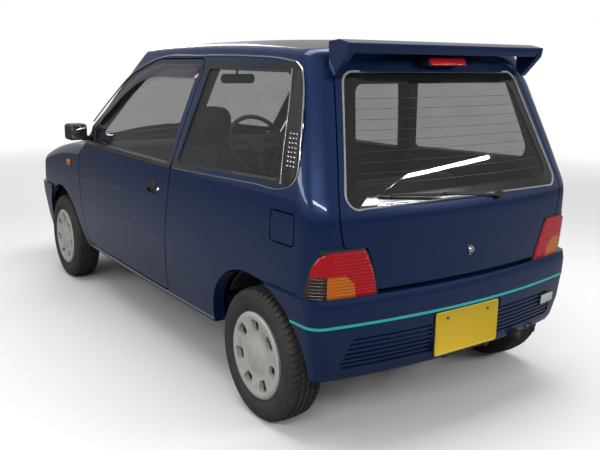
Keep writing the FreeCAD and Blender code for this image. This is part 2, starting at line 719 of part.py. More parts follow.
def make_nose():
    """Panel between the headlamps, with the grille's bars across its opening."""
    zone = box((1400, -469, BUMPER_TOP - 4), (2000, 469, HIGH_Z))
    panel = FRONT_SHELL.common(zone).cut(plan_cut(GAP))
    panel = panel.cut(lamp_cut(SEAM)).cut(mirrored(lamp_cut(SEAM)))
    hole = box((1400, -250, 612), (2000, 250, 668))
    bars = [box((1400, -256, 622 + 16 * i), (2000, 256, 627 + 16 * i)) for i in range(3)]
    bars = FRONT.cut(front_form(14)).common(Part.makeCompound(bars))
    return biggest(panel.cut(hole).fuse(bars.Solids))


def make_bonnet():
    """Bonnet: thin at its rear edge, where it lies over the cowl and has its hinges."""
    bonnet = FRONT_SHELL.common(plan_cut(0))
    thick = box((FRONT_DOOR_X, -1000, 0), (COWL_X + 64, 1000, HIGH_Z))
    bonnet = bonnet.cut(front_form(COWL_WALL + 2).common(thick))
    x, z = BONNET_PIN
    arms = []
    for y in (-BONNET_PIN_Y, BONNET_PIN_Y):
        arm = box((x, y - 7, z - 12), (x + 90, y + 7, z)).common(front_form(4))
        arms += [arm, cylinder(HINGE_R, (x, y - 7, z), (x, y + 7, z))]
    return biggest(bonnet.fuse(arms))


def tail_lamp_zone(grow):
    """The space of the left tail lamp: its outlines from behind and from the side."""
    side = prism(LAMP_SIDE, side_view, grow, Vector(0, 300, 0), Vector(0, 600, 0))
    return rear_cut(TAIL_LAMP, grow, False, -1300.0).common(side)


def make_tail_lamp():
    return biggest(CABIN.cut(CABIN_IN).common(tail_lamp_zone(-SEAT)))


def bumper_form(rows, inset, bow_x, corner, far_x):
    """A bumper's whole form from rows of height and centre x, a little proud of the body's sides."""
    outlines = []
    for z, x in rows:
        depth = x - math.copysign(inset, x)
        outlines.append(plan_outline(z, body_y(z) + BUMPER_PROUD - inset, depth, bow_x, corner - inset, far_x))
    return Part.makeLoft(outlines, True, True)


def rear_bumper_form(inset):
    rows = [
        (BUMPER_LOW, -1608), (280, -1624), (360, BUMPER_REAR_X + 7), (470, BUMPER_REAR_X),
        (524, BUMPER_REAR_X), (BUMPER_TOP, BUMPER_REAR_X + 8),
    ]
    return bumper_form(rows, inset, REAR_BOW_X, REAR_BUMPER_R, -1200)


def make_rear_bumper():
    outer = rear_bumper_form(0)
    inner = rear_bumper_form(BUMPER_WALL)
    bumper = outer.cut(inner)
    pocket = outer.cut(rear_bumper_form(LOUVRE_DEPTH))
    slat_skin = rear_bumper_form(3).cut(inner)
    for rows in (LOUVRES, [(-y, z, r) for y, z, r in LOUVRES]):
        zone = prism(rows, rear_view, 0, Vector(-1800, 0, 0), Vector(400, 0, 0))
        bumper = bumper.cut(pocket.common(zone))
        low, high = LOUVRES[0][1], LOUVRES[1][1]
        pitch = (high - low) / (LOUVRE_COUNT + 0.5)
        slats = [box((-1800, -900, low + pitch * (i + 0.75) - 5), (-1400, 900, low + pitch * (i + 0.75) + 4))
                 for i in range(LOUVRE_COUNT)]
        slats = slat_skin.common(prism(rows, rear_view, 3, Vector(-1800, 0, 0), Vector(400, 0, 0)))\
            .common(Part.makeCompound(slats))
        bumper = bumper.fuse(slats.Solids)
    bumper = bumper.cut(prism(
        PLATE_POCKET + [(-y, z, r) for y, z, r in reversed(PLATE_POCKET)],
        rear_view, 0, Vector(-1800, 0, 0), Vector(1800 + PLATE_FLOOR_X, 0, 0)))
    bumper = bumper.cut(rear_arch(0)).cut(mirrored(rear_arch(0)))
    bumper = bumper.cut(box((-1500, -2000, 0), (0, 2000, 1000)).cut(
        box((-1500, -2000, 0), (REAR_AXLE_X - 40, 2000, 1000))))
    for side in (-1, 1):
        at = side * PLATE_HOLE_SPACING / 2
        bumper = bumper.cut(cylinder(PLATE_HOLE_R, (-1700, at, PLATE_Z), (-1560, at, PLATE_Z)))
    bumper = bumper.cut(exhaust_tail(EXHAUST_R + 6))
    return biggest(bumper)


def front_bumper_form(inset):
    rows = [
        (196, BUMPER_FRONT_X - 62), (330, BUMPER_FRONT_X - 6), (470, BUMPER_FRONT_X),
        (BUMPER_TOP - 8, BUMPER_FRONT_X - 8),
    ]
    return bumper_form(rows, inset, NOSE_BOW_X, FRONT_BUMPER_R, FRONT_AXLE_X + 200 + SEAM)


def make_front_bumper():
    outer = front_bumper_form(0)
    bumper = outer.cut(front_bumper_form(BUMPER_WALL)).cut(
        box((FRONT_AXLE_X + 149, -560, 0), (FRONT_AXLE_X + 330, 560, 1000)))
    bumper = bumper.cut(front_arch(0)).cut(mirrored(front_arch(0)))
    intake = box((1400, -330, 250), (2000, 330, 330))
    return biggest(bumper.cut(intake))


def make_cowl():
    """The sunk panel between bonnet and windscreen, with the bonnet's hinges."""
    zone = box((FENDER_X, -COWL_Y, 700), (COWL_X + 44, COWL_Y, HIGH_Z))
    under = front_form(COWL_SINK + COWL_WALL)
    panel = front_form(COWL_SINK).cut(under).common(zone)
    scuttle = GLASS_SHELL.common(zone).cut(screen_cut(0)).cut(under)
    x, z = BONNET_PIN
    pieces = [scuttle]
    for side in (-1, 1):
        for at in (-18, 7 + SEAT):
            y = side * BONNET_PIN_Y + at
            leaf = box((x - 5, y, z - 30), (x + 3, y + 11 - SEAT, z)).cut(under)
            pieces += [leaf, cylinder(HINGE_R, (x, y, z), (x, y + 11 - SEAT, z))]
    return biggest(panel.fuse(pieces))


def make_underbody():
    floor = box((-760, -544, FLOOR_Z), (BULKHEAD_X - 14.3, 544, FLOOR_Z + FLOOR_T))
    tunnel = box((-760, -90, FLOOR_Z), (BULKHEAD_X - 14.3, 90, FLOOR_Z + 60)).cut(
        box((-761, -76, FLOOR_Z - 1), (701, 76, FLOOR_Z + 46)))
    step = box((-774, -544, FLOOR_Z), (-760, 544, REAR_FLOOR_Z))
    rear = box((REAR_PANEL_X, -WHEEL_WELL_Y + 6, REAR_FLOOR_Z), (-760, WHEEL_WELL_Y - 6, REAR_FLOOR_Z + FLOOR_T))
    pieces = [floor.cut(box((-761, -76, FLOOR_Z - 1), (701, 76, FLOOR_Z + 20))), tunnel, step, rear]
    between_walls = hull(WALL + SEAT, "rear")
    for side in (-1, 1):
        y = side * RAIL_Y
        pieces.append(box((REAR_PANEL_X, y - RAIL_W / 2, REAR_FLOOR_Z - 60), (-774, y + RAIL_W / 2, REAR_FLOOR_Z)))
        pieces.append(box((-774, y - RAIL_W / 2, FLOOR_Z - 36), (690, y + RAIL_W / 2, FLOOR_Z)))
        for x in (20, 330):
            pieces.append(box((x, min(side * 130, side * 480), FLOOR_Z + FLOOR_T - 1),
                              (x + 50, max(side * 130, side * 480), 330 - SEAT)))
        around = (REAR_AXLE_X, side * (WHEEL_WELL_Y - 12), HUB_Z)
        out = (REAR_AXLE_X, side * WHEEL_HOUSE_Y, HUB_Z)
        inner_wall = (REAR_AXLE_X, side * (WHEEL_WELL_Y - 6), HUB_Z)
        house = cylinder(WHEEL_HOUSE_R, around, out).cut(cylinder(WHEEL_HOUSE_R - 6, inner_wall, out))
        pieces.append(house.common(box((-1600, -900, REAR_FLOOR_Z), (-700, 900, 900))).common(between_walls))
    behind = REAR_PANEL_X + REAR_PANEL_T + SEAT
    limit = bowed([(behind, 0), (behind, 900), (0, 900), (0, 0)], REAR_BOW_X, -28)
    ahead = box((-1000, -800, 0), (1000, 800, 900))
    return pieces[0].fuse(pieces[1:]).common(limit.fuse(ahead)).removeSplitter()


def make_tyre(x, y):
    half = TYRE_W / 2
    rows = [
        (RIM_R + 1, -half + 14), (RIM_R + 16, -half + 13), (SIDEWALL_R, -half),
        (TYRE_R - 12, -half + 6), (TYRE_R, -half + 22),
        (TYRE_R, half - 22), (TYRE_R - 12, half - 6), (SIDEWALL_R, half),
        (RIM_R + 16, half - 13), (RIM_R + 1, half - 14),
        (RIM_R + 1, half - 22), (RIM_R + 8, half - 26), (RIM_R + 8, -half + 26),
        (RIM_R + 1, -half + 22),
    ]
    def at(r, w):
        return Vector(x + r, y + w, HUB_Z)
    return profile(rows, at).revolve(Vector(x, y, HUB_Z), Vector(0, 1, 0), 360)


def make_wheel(x, y, side):
    """Steel rim with its dished cover: openings near the rim and a smooth domed middle."""
    half = TYRE_W / 2
    def at(r, w):
        return Vector(x + r, y + side * w, HUB_Z)
    rim = [
        (RIM_R + 7.5, -half + 26.3), (RIM_R + 7.5, half - 26.3), (RIM_R + 0.6, half - 22.2),
        (RIM_R + 0.6, half - 13.5), (RIM_R + 14, half - 12.6), (RIM_R + 14, half - 9.6),
        (RIM_R - 5, half - 12), (RIM_R - 8, half - 26), (RIM_R - 8, -half + 22),
        (RIM_R - 5, -half + 12), (RIM_R + 12, -half + 9.4), (RIM_R + 12, -half + 12.5),
        (RIM_R + 0.6, -half + 13.5), (RIM_R + 0.6, -half + 22.2),
    ]
    dome_r, dome_h = RIM_R * 0.5, 8.0
    ball_r = (dome_r ** 2 + dome_h ** 2) / (2 * dome_h)
    dome_mid = half - 4 - ball_r + math.sqrt(ball_r ** 2 - dome_r ** 2 / 4)
    cover = [
        (0, half - 22), (60, half - 22), (RIM_R - 6, half - 26), (RIM_R - 6, half - 18),
        (RIM_R + 12, half - 6, RIM_R + 2, half - 8), (RIM_R - 10, half - 3, RIM_R + 2, half - 2),
        (dome_r, half - 4 - dome_h), (0, half - 4, dome_r / 2, dome_mid),
    ]
    axis = Vector(x, y, HUB_Z)
    wheel = profile(rim, at).revolve(axis, Vector(0, 1, 0), 360)
    face = profile(cover, at).revolve(axis, Vector(0, 1, 0), 360)
    hub = cylinder(34, (x, y + side * (half - 60), HUB_Z), (x, y + side * (half - 20), HUB_Z))
    hub = hub.cut(cylinder(16, (x, y + side * (half - 70), HUB_Z), (x, y + side * (half - 30), HUB_Z)))
    hole = [(RIM_R * 0.62, -18, 9), (RIM_R * 0.62, 18, 9), (RIM_R * 0.91, 31, 12), (RIM_R * 0.91, -31, 12)]
    def flat(u, v):
        return Vector(x + u, 0, HUB_Z + v)
    cutter = prism(hole, flat, 0, Vector(0, y + side * (half - 34), 0), Vector(0, side * 60, 0))
    for number in range(COVER_OPENINGS):
        turned = cutter.copy()
        turned.rotate(axis, Vector(0, 1, 0), 360.0 * number / COVER_OPENINGS + 13)
        face = face.cut(turned)
    return biggest(wheel.fuse([face, hub]))


def steer_axis():
    lean = math.radians(STEER_LEAN_DEG)
    return Vector(FRONT_AXLE_X, STEER_AXIS_Y, HUB_Z), Vector(0, -math.sin(lean), math.cos(lean))


def make_knuckle():
    """Left front upright with its strut on the steering axis and the spindle for the wheel."""
    at, up = steer_axis()
    strut = Part.makeCylinder(20, 260, at + up * 130, up)
    upper = Part.makeCylinder(26, 90, at + up * 385, up)
    body = Part.makeCylinder(24, 190, at - up * 72, up)
    spindle = cylinder(15.5, (at.x, at.y - 20, at.z), (at.x, TRACK_Y + TYRE_W / 2 - 34, at.z))
    hub = cylinder(48, (at.x, at.y + 4, at.z), (at.x, at.y + 24, at.z))
    arm = box((at.x - 130, at.y - 28, HUB_Z - 46), (at.x, at.y - 8, HUB_Z - 26))
    return strut.fuse([upper, body, spindle, hub, arm]).removeSplitter()


def make_front_suspension():
    """Crossmember with the two lower arms, which end under the uprights."""
    at, up = steer_axis()
    foot = at - up * 72.4
    eye = Part.makeCylinder(30, 16, foot - up * 16, up)
    arm = box((at.x - 26, 300, foot.z - 20), (at.x + 26, foot.y - 8, foot.z - 8))
    cross = box((at.x - 90, -310, foot.z - 22), (at.x + 60, 310, foot.z + 16))
    legs = box((at.x - 80, RAIL_Y - 24, foot.z + 10), (at.x - 20, RAIL_Y + 24, APRON_RAIL_Z))
    half = eye.fuse([arm, legs])
    return cross.fuse([half, mirrored(half)]).removeSplitter()


def make_apron():
    """Left inner wing: front rail, upright panel, strut tower and the arch liner over the wheel."""
    rail = box((BULKHEAD_X + SEAM, RAIL_Y - RAIL_W / 2, APRON_RAIL_Z),
               (1560, RAIL_Y + RAIL_W / 2, APRON_RAIL_Z + RAIL_H))
    panel = box((BULKHEAD_X + SEAM, 359, APRON_RAIL_Z + 10), (1440, 372, 740))
    liner = front_arch(8, 366).cut(front_arch(2, 380)).common(
        box((0, 366, APRON_RAIL_Z), (2000, 606, 900)))
    at, up = steer_axis()
    tower = box((at.x - 60, 366, 728), (at.x + 60, 450, 740))
    panel = panel.common(front_form(FRONT_WALL + GAP))
    apron = rail.fuse([panel, liner]).cut(Part.makeCylinder(62, 474, at, up))
    return biggest(apron.fuse([tower, Part.makeCylinder(60, 8, at + up * 475.6, up)]))


def make_bulkhead():
    half = SILL_INNER_Y - SEAT
    return box((BULKHEAD_X - 14, -half, FLOOR_Z), (BULKHEAD_X, half, 838))


def make_rear_axle():
    beam = cylinder(24, (REAR_AXLE_X + 60, -470, HUB_Z), (REAR_AXLE_X + 60, 470, HUB_Z))
    pieces = []
    for side in (-1, 1):
        spindle = cylinder(15.5, (REAR_AXLE_X, side * 430, HUB_Z),
                           (REAR_AXLE_X, side * (TRACK_Y + TYRE_W / 2 - 34), HUB_Z))
        drum = cylinder(88, (REAR_AXLE_X, side * 520, HUB_Z), (REAR_AXLE_X, side * 566, HUB_Z))
        arm = box((REAR_AXLE_X - 20, min(side * 430, side * 478), HUB_Z - 26),
                  (-800, max(side * 430, side * 478), HUB_Z + 26))
        mount = box((-840, min(side * 430, side * 478), HUB_Z),
                    (-800, max(side * 430, side * 478), REAR_FLOOR_Z - SEAT))
        damper = cylinder(22, (REAR_AXLE_X - 10, side * 454, HUB_Z), (REAR_AXLE_X - 10, side * 454, REAR_FLOOR_Z - SEAT))
        pieces += [spindle, drum, arm, mount, damper]
    return beam.fuse(pieces).removeSplitter()


def make_engine():
    x, y, z = ENGINE_AT
    length, width, height = ENGINE
    block = box((x, y - width / 2, z), (x + length, y + width / 2, z + height))
    rail = RAIL_Y - RAIL_W / 2 - SEAT
    mounts = box((x + 190, -rail, z + 20), (x + 250, rail, z + 60))
    return block.makeFillet(24, block.Edges).fuse(mounts)


def column(radius, start, end):
    """A round stretch of the steering column, start and end mm ahead of the wheel's middle."""
    lean = math.radians(COLUMN_LEAN_DEG)
    ahead = Vector(math.sin(lean), 0, -math.cos(lean))
    middle = Vector(STEERING_X, -SEAT_Y, STEERING_Z)
    return Part.makeCylinder(radius, end - start, middle + ahead * start, ahead)


def make_dashboard():
    rows = [
        (BULKHEAD_X - 15, 560), (BULKHEAD_X - 15, 822), (600, 868), (500, 880),
        (452, 840, 462, 868), (470, 700), (560, 600), (600, 560),
    ]
    face = profile(rows, side_view)
    half = SILL_INNER_Y - SEAT
    face.translate(Vector(0, -half, 0))
    board = face.extrude(Vector(0, 2 * half, 0)).common(screen_form(WALL + SEAT))
    shroud = column(COLUMN_R, COLUMN_SHROUD, COLUMN_DEPTH)
    return board.fuse(shroud).cut(column(COLUMN_PIN_R + SEAT, 0, COLUMN_DEPTH + 1))


def make_front_seat():
    """Left front seat: cushion, back and head rest in one upholstered form."""
    rows = [
        (-20, 330), (400, 330), (430, 400), (400, 440, 424, 428), (60, 440), (-90, 1000),
        (-150, 1108, -104, 1090), (-200, 1090, -184, 1110), (-150, 940), (-50, 420, -110, 700),
    ]
    face = profile(rows, side_view)
    face.translate(Vector(0, SEAT_Y - SEAT_W / 2, 0))
    return face.extrude(Vector(0, SEAT_W, 0))


def make_rear_seat():
    rows = [
        (-740, REAR_FLOOR_Z + FLOOR_T + SEAT), (-700, 440), (-700, 520), (-730, 548), (-1080, 530),
        (-1160, 900), (-1240, 900), (-1180, 520), (-1150, REAR_FLOOR_Z + FLOOR_T + SEAT),
    ]
    face = profile(rows, side_view)
    face.translate(Vector(0, -480, 0))
    return face.extrude(Vector(0, 960, 0))


def make_tank():
    tank = box((-1060, -260, 300), (-790, 260, REAR_FLOOR_Z - SEAT))
    return tank.makeFillet(20, tank.Edges)


def exhaust_tail(radius):
    return cylinder(radius, (-1470, -318, 262), (-1628, -318, 259))


def make_exhaust():
    muffler = cylinder(58, (-1480, -430, 300), (-1480, -120, 300))
    hanger = box((-1500, -345, 320), (-1480, -315, REAR_FLOOR_Z - 60 - SEAT))
    return muffler.fuse([hanger, exhaust_tail(EXHAUST_R), tube(EXHAUST_ROUTE, EXHAUST_R, 120.0)])


def make_mirror():
    shell = box((452, 690, 902), (544, 790, 988))
    shell = shell.makeFillet(18, shell.Edges)
    stalk = box((478, 676, 898), (530, 712, 922))
    return shell.fuse(stalk.cut(side_form(-SEAT))).removeSplitter()


def make_steering_wheel():
    ring = Part.makeTorus(STEERING_R, 13)
    hub = Part.makeCylinder(52, 40, Vector(0, 0, -30))
    spokes = box((-16, -STEERING_R, -22), (16, STEERING_R, -8)).fuse(
        box((-STEERING_R, -16, -22), (0, 16, -8)))
    wheel = ring.fuse([hub, spokes])
    wheel.rotate(Vector(0, 0, 0), Vector(0, 1, 0), -COLUMN_LEAN_DEG)
    wheel.translate(Vector(STEERING_X, -SEAT_Y, STEERING_Z))
    return wheel.fuse(column(COLUMN_PIN_R, 25, COLUMN_DEPTH))


def make_wiper(pivot_y, way):
    """One front wiper at rest: the blade lies along the glass, the arm runs up from its pivot."""
    low, up, out = screen_frame()
    radius = SCREEN_R - GLASS_SINK + SEAT + WIPER_R
    centre = low - out * SCREEN_R + up * WIPER_UP
    start_y = pivot_y + way * 40
    spot = centre + out * math.sqrt(radius ** 2 - start_y ** 2) + Vector(0, start_y, 0)
    circle = Part.makeCircle(WIPER_R, spot, (spot - centre).cross(up))
    blade = Part.Face(Part.Wire(circle)).revolve(centre, up, math.degrees(WIPER_LENGTH / radius) * way)
    pin = Vector(WIPER_PIVOT_X, pivot_y, crown_z(WIPER_PIVOT_X, pivot_y) - COWL_SINK)
    boss = Part.makeCylinder(10, 60, pin - Vector(0, 0, 12), Vector(0, 0, 1))
    boss = boss.cut(screen_form(GLASS_SINK - SEAT)).cut(
        crowned(BONNET_X, BONNET_Z, BONNET_LONG_R, BONNET_CROSS_R, COWL_SINK - SEAT))
    middle_y = start_y + way * WIPER_LENGTH / 2
    middle = centre + out * math.sqrt((radius + 4) ** 2 - middle_y ** 2) + Vector(0, middle_y, 0)
    arm = cylinder(4.5, tuple(pin + Vector(0, 0, 43)), tuple(middle))
    return blade.fuse([boss, arm])


def make_rear_wiper():
    pivot = cylinder(15, (-1646, -134, 852), (-1606, -134, 852))
    arm = cylinder(5, (-1640, -134, 852), (-1634, 150, 882))
    blade = cylinder(5, (-1638, -30, 866), (-1612, 380, 893))
    return biggest(pivot.fuse([arm, blade]).cut(hull(-SEAT, "rear")))


def make_rear_panel():
    inner = REAR_PANEL_X + REAR_PANEL_T
    rows = [(REAR_PANEL_X, 300), (REAR_PANEL_X, BUMPER_TOP - 2), (inner, BUMPER_TOP - 2), (inner, 300)]
    return bowed(rows, REAR_BOW_X, -28).common(box((-1700, -500, 290), (-1400, 500, BUMPER_TOP)))


def main():
    side = make_side_panel()
    save("side_panel_left", cut_flap_pocket(side))
    save("side_panel_right", mirrored(side))
    save("roof_panel", make_roof_panel())
    door = make_door()
    glass = make_door_glass()
    mirror = make_mirror()
    for name, shape in (("door", door), ("door_glass", glass), ("door_mirror", mirror)):
        save(name + "_left", shape)
        save(name + "_right", mirrored(shape))
    save("quarter_glasses", both(make_quarter_glass()))
    save("windscreen", make_windscreen())
    save("hatch", make_hatch())
    save("hatch_glass", make_hatch_glass())
    save("hatch_spoiler", make_spoiler())
    save("fuel_flap", make_fuel_flap())
    save("fenders", both(make_fender()))
    save("headlamps", both(make_headlamp()))
    save("nose_panel", make_nose())
    save("bonnet", make_bonnet())
    save("cowl_panel", make_cowl())
    save("tail_lamps", both(make_tail_lamp()))
    save("rear_bumper", make_rear_bumper())
    save("front_bumper", make_front_bumper())
    save("rear_panel", make_rear_panel())
    save("underbody", make_underbody())
    save("bulkhead", make_bulkhead())
    save("aprons", both(make_apron()))
    save("front_suspension", make_front_suspension())
    save("rear_axle", make_rear_axle())
    save("engine_block", make_engine())
    save("dashboard", make_dashboard())
    save("front_seats", both(make_front_seat()))
    save("rear_seat", make_rear_seat())
    save("fuel_tank", make_tank())
    save("exhaust", make_exhaust())
    save("front_wipers", Part.makeCompound([make_wiper(y, WIPER_WAY) for y in WIPER_PIVOTS_Y]))
    save("rear_wiper", make_rear_wiper())
    save("steering_wheel", make_steering_wheel())
    knuckle = make_knuckle()
    save("knuckle_left", knuckle)
    save("knuckle_right", mirrored(knuckle))
    for end, x in (("front", FRONT_AXLE_X), ("rear", REAR_AXLE_X)):
        for hand, sign in (("left", 1), ("right", -1)):
            save("tyre_%s_%s" % (end, hand), make_tyre(x, sign * TRACK_Y))
            save("wheel_%s_%s" % (end, hand), make_wheel(x, sign * TRACK_Y, sign))


main()
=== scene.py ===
"""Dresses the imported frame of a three-door kei hatchback: skins, glass, trims, lamps, wheels and cabin.

Lengths are in metres in the frame's own axes: +X forward, +Y left and +Z up.
"""

import json
import math

import bmesh
import bpy
import numpy as np
from bpy.props import FloatProperty, FloatVectorProperty, IntProperty, PointerProperty
from mathutils import Matrix, Vector
from mathutils.bvhtree import BVHTree


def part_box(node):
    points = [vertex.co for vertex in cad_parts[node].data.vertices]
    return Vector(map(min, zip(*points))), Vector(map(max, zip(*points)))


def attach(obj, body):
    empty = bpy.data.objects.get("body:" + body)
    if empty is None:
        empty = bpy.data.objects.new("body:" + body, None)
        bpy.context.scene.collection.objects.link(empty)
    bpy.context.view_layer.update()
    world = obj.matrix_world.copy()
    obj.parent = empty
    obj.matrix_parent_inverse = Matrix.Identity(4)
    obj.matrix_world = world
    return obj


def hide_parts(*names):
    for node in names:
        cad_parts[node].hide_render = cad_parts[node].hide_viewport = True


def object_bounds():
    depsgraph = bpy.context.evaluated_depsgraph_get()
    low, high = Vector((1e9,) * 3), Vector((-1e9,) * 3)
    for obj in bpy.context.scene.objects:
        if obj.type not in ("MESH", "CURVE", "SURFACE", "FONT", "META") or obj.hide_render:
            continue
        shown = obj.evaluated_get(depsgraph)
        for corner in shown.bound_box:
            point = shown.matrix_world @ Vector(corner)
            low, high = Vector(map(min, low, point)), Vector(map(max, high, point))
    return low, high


bl_info = {
    "name": "Kei hatchback dressing",
    "version": (1, 0, 0),
    "blender": (4, 5, 0),
    "location": "3D View > Sidebar > Kei car",
    "description": "Builds the finished kei hatchback around its packed frame",
    "category": "Object",
}

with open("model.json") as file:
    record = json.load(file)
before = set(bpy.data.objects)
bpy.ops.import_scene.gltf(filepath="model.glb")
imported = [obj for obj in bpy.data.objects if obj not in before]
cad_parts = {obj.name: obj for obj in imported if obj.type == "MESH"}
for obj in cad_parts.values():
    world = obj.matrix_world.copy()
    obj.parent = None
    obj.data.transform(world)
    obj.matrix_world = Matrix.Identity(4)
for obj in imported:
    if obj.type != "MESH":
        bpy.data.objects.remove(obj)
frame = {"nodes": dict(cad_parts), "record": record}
NODES = frame["nodes"]
BODY_OF = {node: body for body, nodes in frame["record"]["behaviour"]["bodies"].items() for node in nodes}
CAD_BOX = [list(corner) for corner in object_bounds()]

# The body's own curves: circles' radii and middles, and points of its profiles
SIDE_BOW_R = 31.422
SIDE_BOW_X = -0.100
HALF_WIDTH = 0.697
SILL = (0.651, 0.275)
WAIST_Z = 0.660
BELT = (0.688, 0.879)
DRIP = (0.565, 1.334)
REAR_BOW_X = 1.363
REAR_LOW = (-1.622, 0.556)
REAR_WAIST = (-1.637, 0.828)
REAR_TOP = (-1.423, 1.318)
REAR_LEAN = 0.45
REAR_CORNER_R = 0.105
REAR_CORNER_TAPER = 0.06
SCREEN_LOW = (0.765, 0.905)
SCREEN_TOP = (0.070, 1.395)
SCREEN_R = 1.800

# Depth of the panes below the skin, and their thickness
GLASS_SINK = 0.003
GLASS_THICKNESS = 0.005

# The left seat's y, the rear plate's plane, each wheel with the side that it is on, and the stripe's height and end
SEAT_Y = 0.305
PLATE_X = -1.634
WHEELS = {"front_left": 1, "front_right": -1, "rear_left": 1, "rear_right": -1}
STRIPE_Z = 0.460
STRIPE_END_X = -1.4470

# Upholstery: the remesh's cell, cloth frames and pressure, how far a point may move, and its sewn channels
VOXEL = 0.009
CLOTH_FRAMES = 20
CLOTH_PRESSURE = 4.0
CLOTH_REACH = 0.024
CHANNEL_DEPTH = 0.005
CHANNEL_WIDTH = 0.006
OFF = 9.0

# Angles in degrees past which an edge is sharp, on made pieces and on copied nodes, and past which it is rounded
SHARP = 35.0
SHARP_COPY = 32.0
SHARP_SWEPT = 40.0
ROUNDED_FROM = 40.0


# Curves and grids


def on_arc(start, middle, end, v):
    """u at each v on the circle through three points of u and v: its centre is where two chords' bisectors meet."""
    (a, b), (c, d), (e, f) = start, middle, end
    double = 2 * (a * (d - f) + c * (f - b) + e * (b - d))
    p, q, r = a * a + b * b, c * c + d * d, e * e + f * f
    u = (p * (d - f) + q * (f - b) + r * (b - d)) / double
    w = (p * (e - c) + q * (a - e) + r * (c - a)) / double
    reach = np.sqrt((a - u) ** 2 + (b - w) ** 2 - (v - w) ** 2)
    return u + math.copysign(1, c - u) * reach


def body_y(z):
    """Half width of the body at each height: three arcs and a straight lean, each where its height applies."""
    z = np.asarray(z, float)
    low_r = ((HALF_WIDTH - SILL[0]) ** 2 + (WAIST_Z - SILL[1]) ** 2) / (2 * (HALF_WIDTH - SILL[0]))
    up_r = ((HALF_WIDTH - BELT[0]) ** 2 + (BELT[1] - WAIST_Z) ** 2) / (2 * (HALF_WIDTH - BELT[0]))
    radius = np.where(z < WAIST_Z, low_r, up_r)
    lower = HALF_WIDTH - radius + np.sqrt(radius ** 2 - (np.clip(z, SILL[1], BELT[1]) - WAIST_Z) ** 2)
    middle = ((BELT[0] + DRIP[0]) / 2 + 0.005, (BELT[1] + DRIP[1]) / 2)
    upper = on_arc(BELT, middle, DRIP, np.clip(z, BELT[1], DRIP[1]))
    lean = DRIP[0] - 0.040 * (z - DRIP[1]) / 0.110
    return np.where(z < BELT[1], lower, np.where(z < DRIP[1], upper, lean))


def side_y(x, z):
    """Half width at each x and height: the body's half width less the bow of its sides in plan."""
    return body_y(z) - SIDE_BOW_R + np.sqrt(SIDE_BOW_R ** 2 - (np.asarray(x) - SIDE_BOW_X) ** 2)


def rear_x(z):
    """The rear face's centre profile: upright, then two arcs, then a straight lean."""
    z = np.asarray(z, float)
    low = on_arc(REAR_LOW, ((REAR_LOW[0] + REAR_WAIST[0]) / 2 - 0.003, (REAR_LOW[1] + REAR_WAIST[1]) / 2),
                 REAR_WAIST, np.clip(z, REAR_LOW[1], REAR_WAIST[1]))
    high = on_arc(REAR_WAIST, ((REAR_WAIST[0] + REAR_TOP[0]) / 2 - 0.004, (REAR_WAIST[1] + REAR_TOP[1]) / 2),
                  REAR_TOP, np.clip(z, REAR_WAIST[1], REAR_TOP[1]))
    lean = REAR_TOP[0] + (z - REAR_TOP[1]) * REAR_LEAN
    return np.where(z < REAR_WAIST[1], low, np.where(z < REAR_TOP[1], high, lean))


def rear_face(y, z):
    """x of the bowed rear face: each height's arc turns about one upright axis."""
    return REAR_BOW_X - np.sqrt((REAR_BOW_X - rear_x(z)) ** 2 - np.asarray(y) ** 2)


def on_screen(y, up, out):
    """Points on the windscreen's cylinder, from y, the distance up the glass and the distance outwards."""
    slope = Vector((SCREEN_TOP[0] - SCREEN_LOW[0], 0, SCREEN_TOP[1] - SCREEN_LOW[1])).normalized()
    outward = np.array((slope.z, 0, -slope.x))
    base = np.array((SCREEN_LOW[0], 0, SCREEN_LOW[1]))
    y = np.asarray(y, float)
    drop = SCREEN_R + out - np.sqrt((SCREEN_R + out) ** 2 - y ** 2)
    up, high = np.asarray(up, float)[..., None], (out - drop)[..., None]
    point = base + up * np.array(slope) + high * outward
    point[..., 1] = y
    return point


def rounded(corners, steps=8):
    """Points round a closed outline of rows u, v, radius, with the same count on each corner's arc."""
    points = np.array([row[:2] for row in corners], float)
    radii = np.array([row[2] for row in corners], float)
    before = np.roll(points, 1, axis=0) - points
    after = np.roll(points, -1, axis=0) - points
    before /= np.linalg.norm(before, axis=1, keepdims=True)
    after /= np.linalg.norm(after, axis=1, keepdims=True)
    half = np.arccos(np.clip((before * after).sum(1), -1, 1)) / 2
    reach = radii / np.tan(half)
    middle = before + after
    middle /= np.linalg.norm(middle, axis=1, keepdims=True)
    centre = points + middle * (radii / np.sin(half))[:, None]
    start = points + before * reach[:, None] - centre
    turn = (math.pi - 2 * half) * np.sign(np.cross(-before, after))
    angle = turn[:, None] * np.linspace(0, 1, steps)
    cos, sin = np.cos(angle), np.sin(angle)
    x = centre[:, :1] + start[:, :1] * cos - start[:, 1:] * sin
    y = centre[:, 1:] + start[:, :1] * sin + start[:, 1:] * cos
    return np.stack([x.ravel(), y.ravel()], axis=1)


def smooth_path(points, count):
    """A smooth curve through points: cubic pieces whose slopes are half the step between their neighbours."""
    points = np.asarray(points, float)
    run = np.concatenate([[0], np.cumsum(np.linalg.norm(np.diff(points, axis=0), axis=1))])
    slope = np.gradient(points, run, axis=0)
    at = np.linspace(0, run[-1], count)
    i = np.clip(np.searchsorted(run, at, "right") - 1, 0, len(run) - 2)
    h = (run[i + 1] - run[i])[:, None]
    t = (at - run[i])[:, None] / h
    return ((2 * t ** 3 - 3 * t ** 2 + 1) * points[i] + (t ** 3 - 2 * t ** 2 + t) * h * slope[i]
            + (3 * t ** 2 - 2 * t ** 3) * points[i + 1] + (t ** 3 - t ** 2) * h * slope[i + 1])


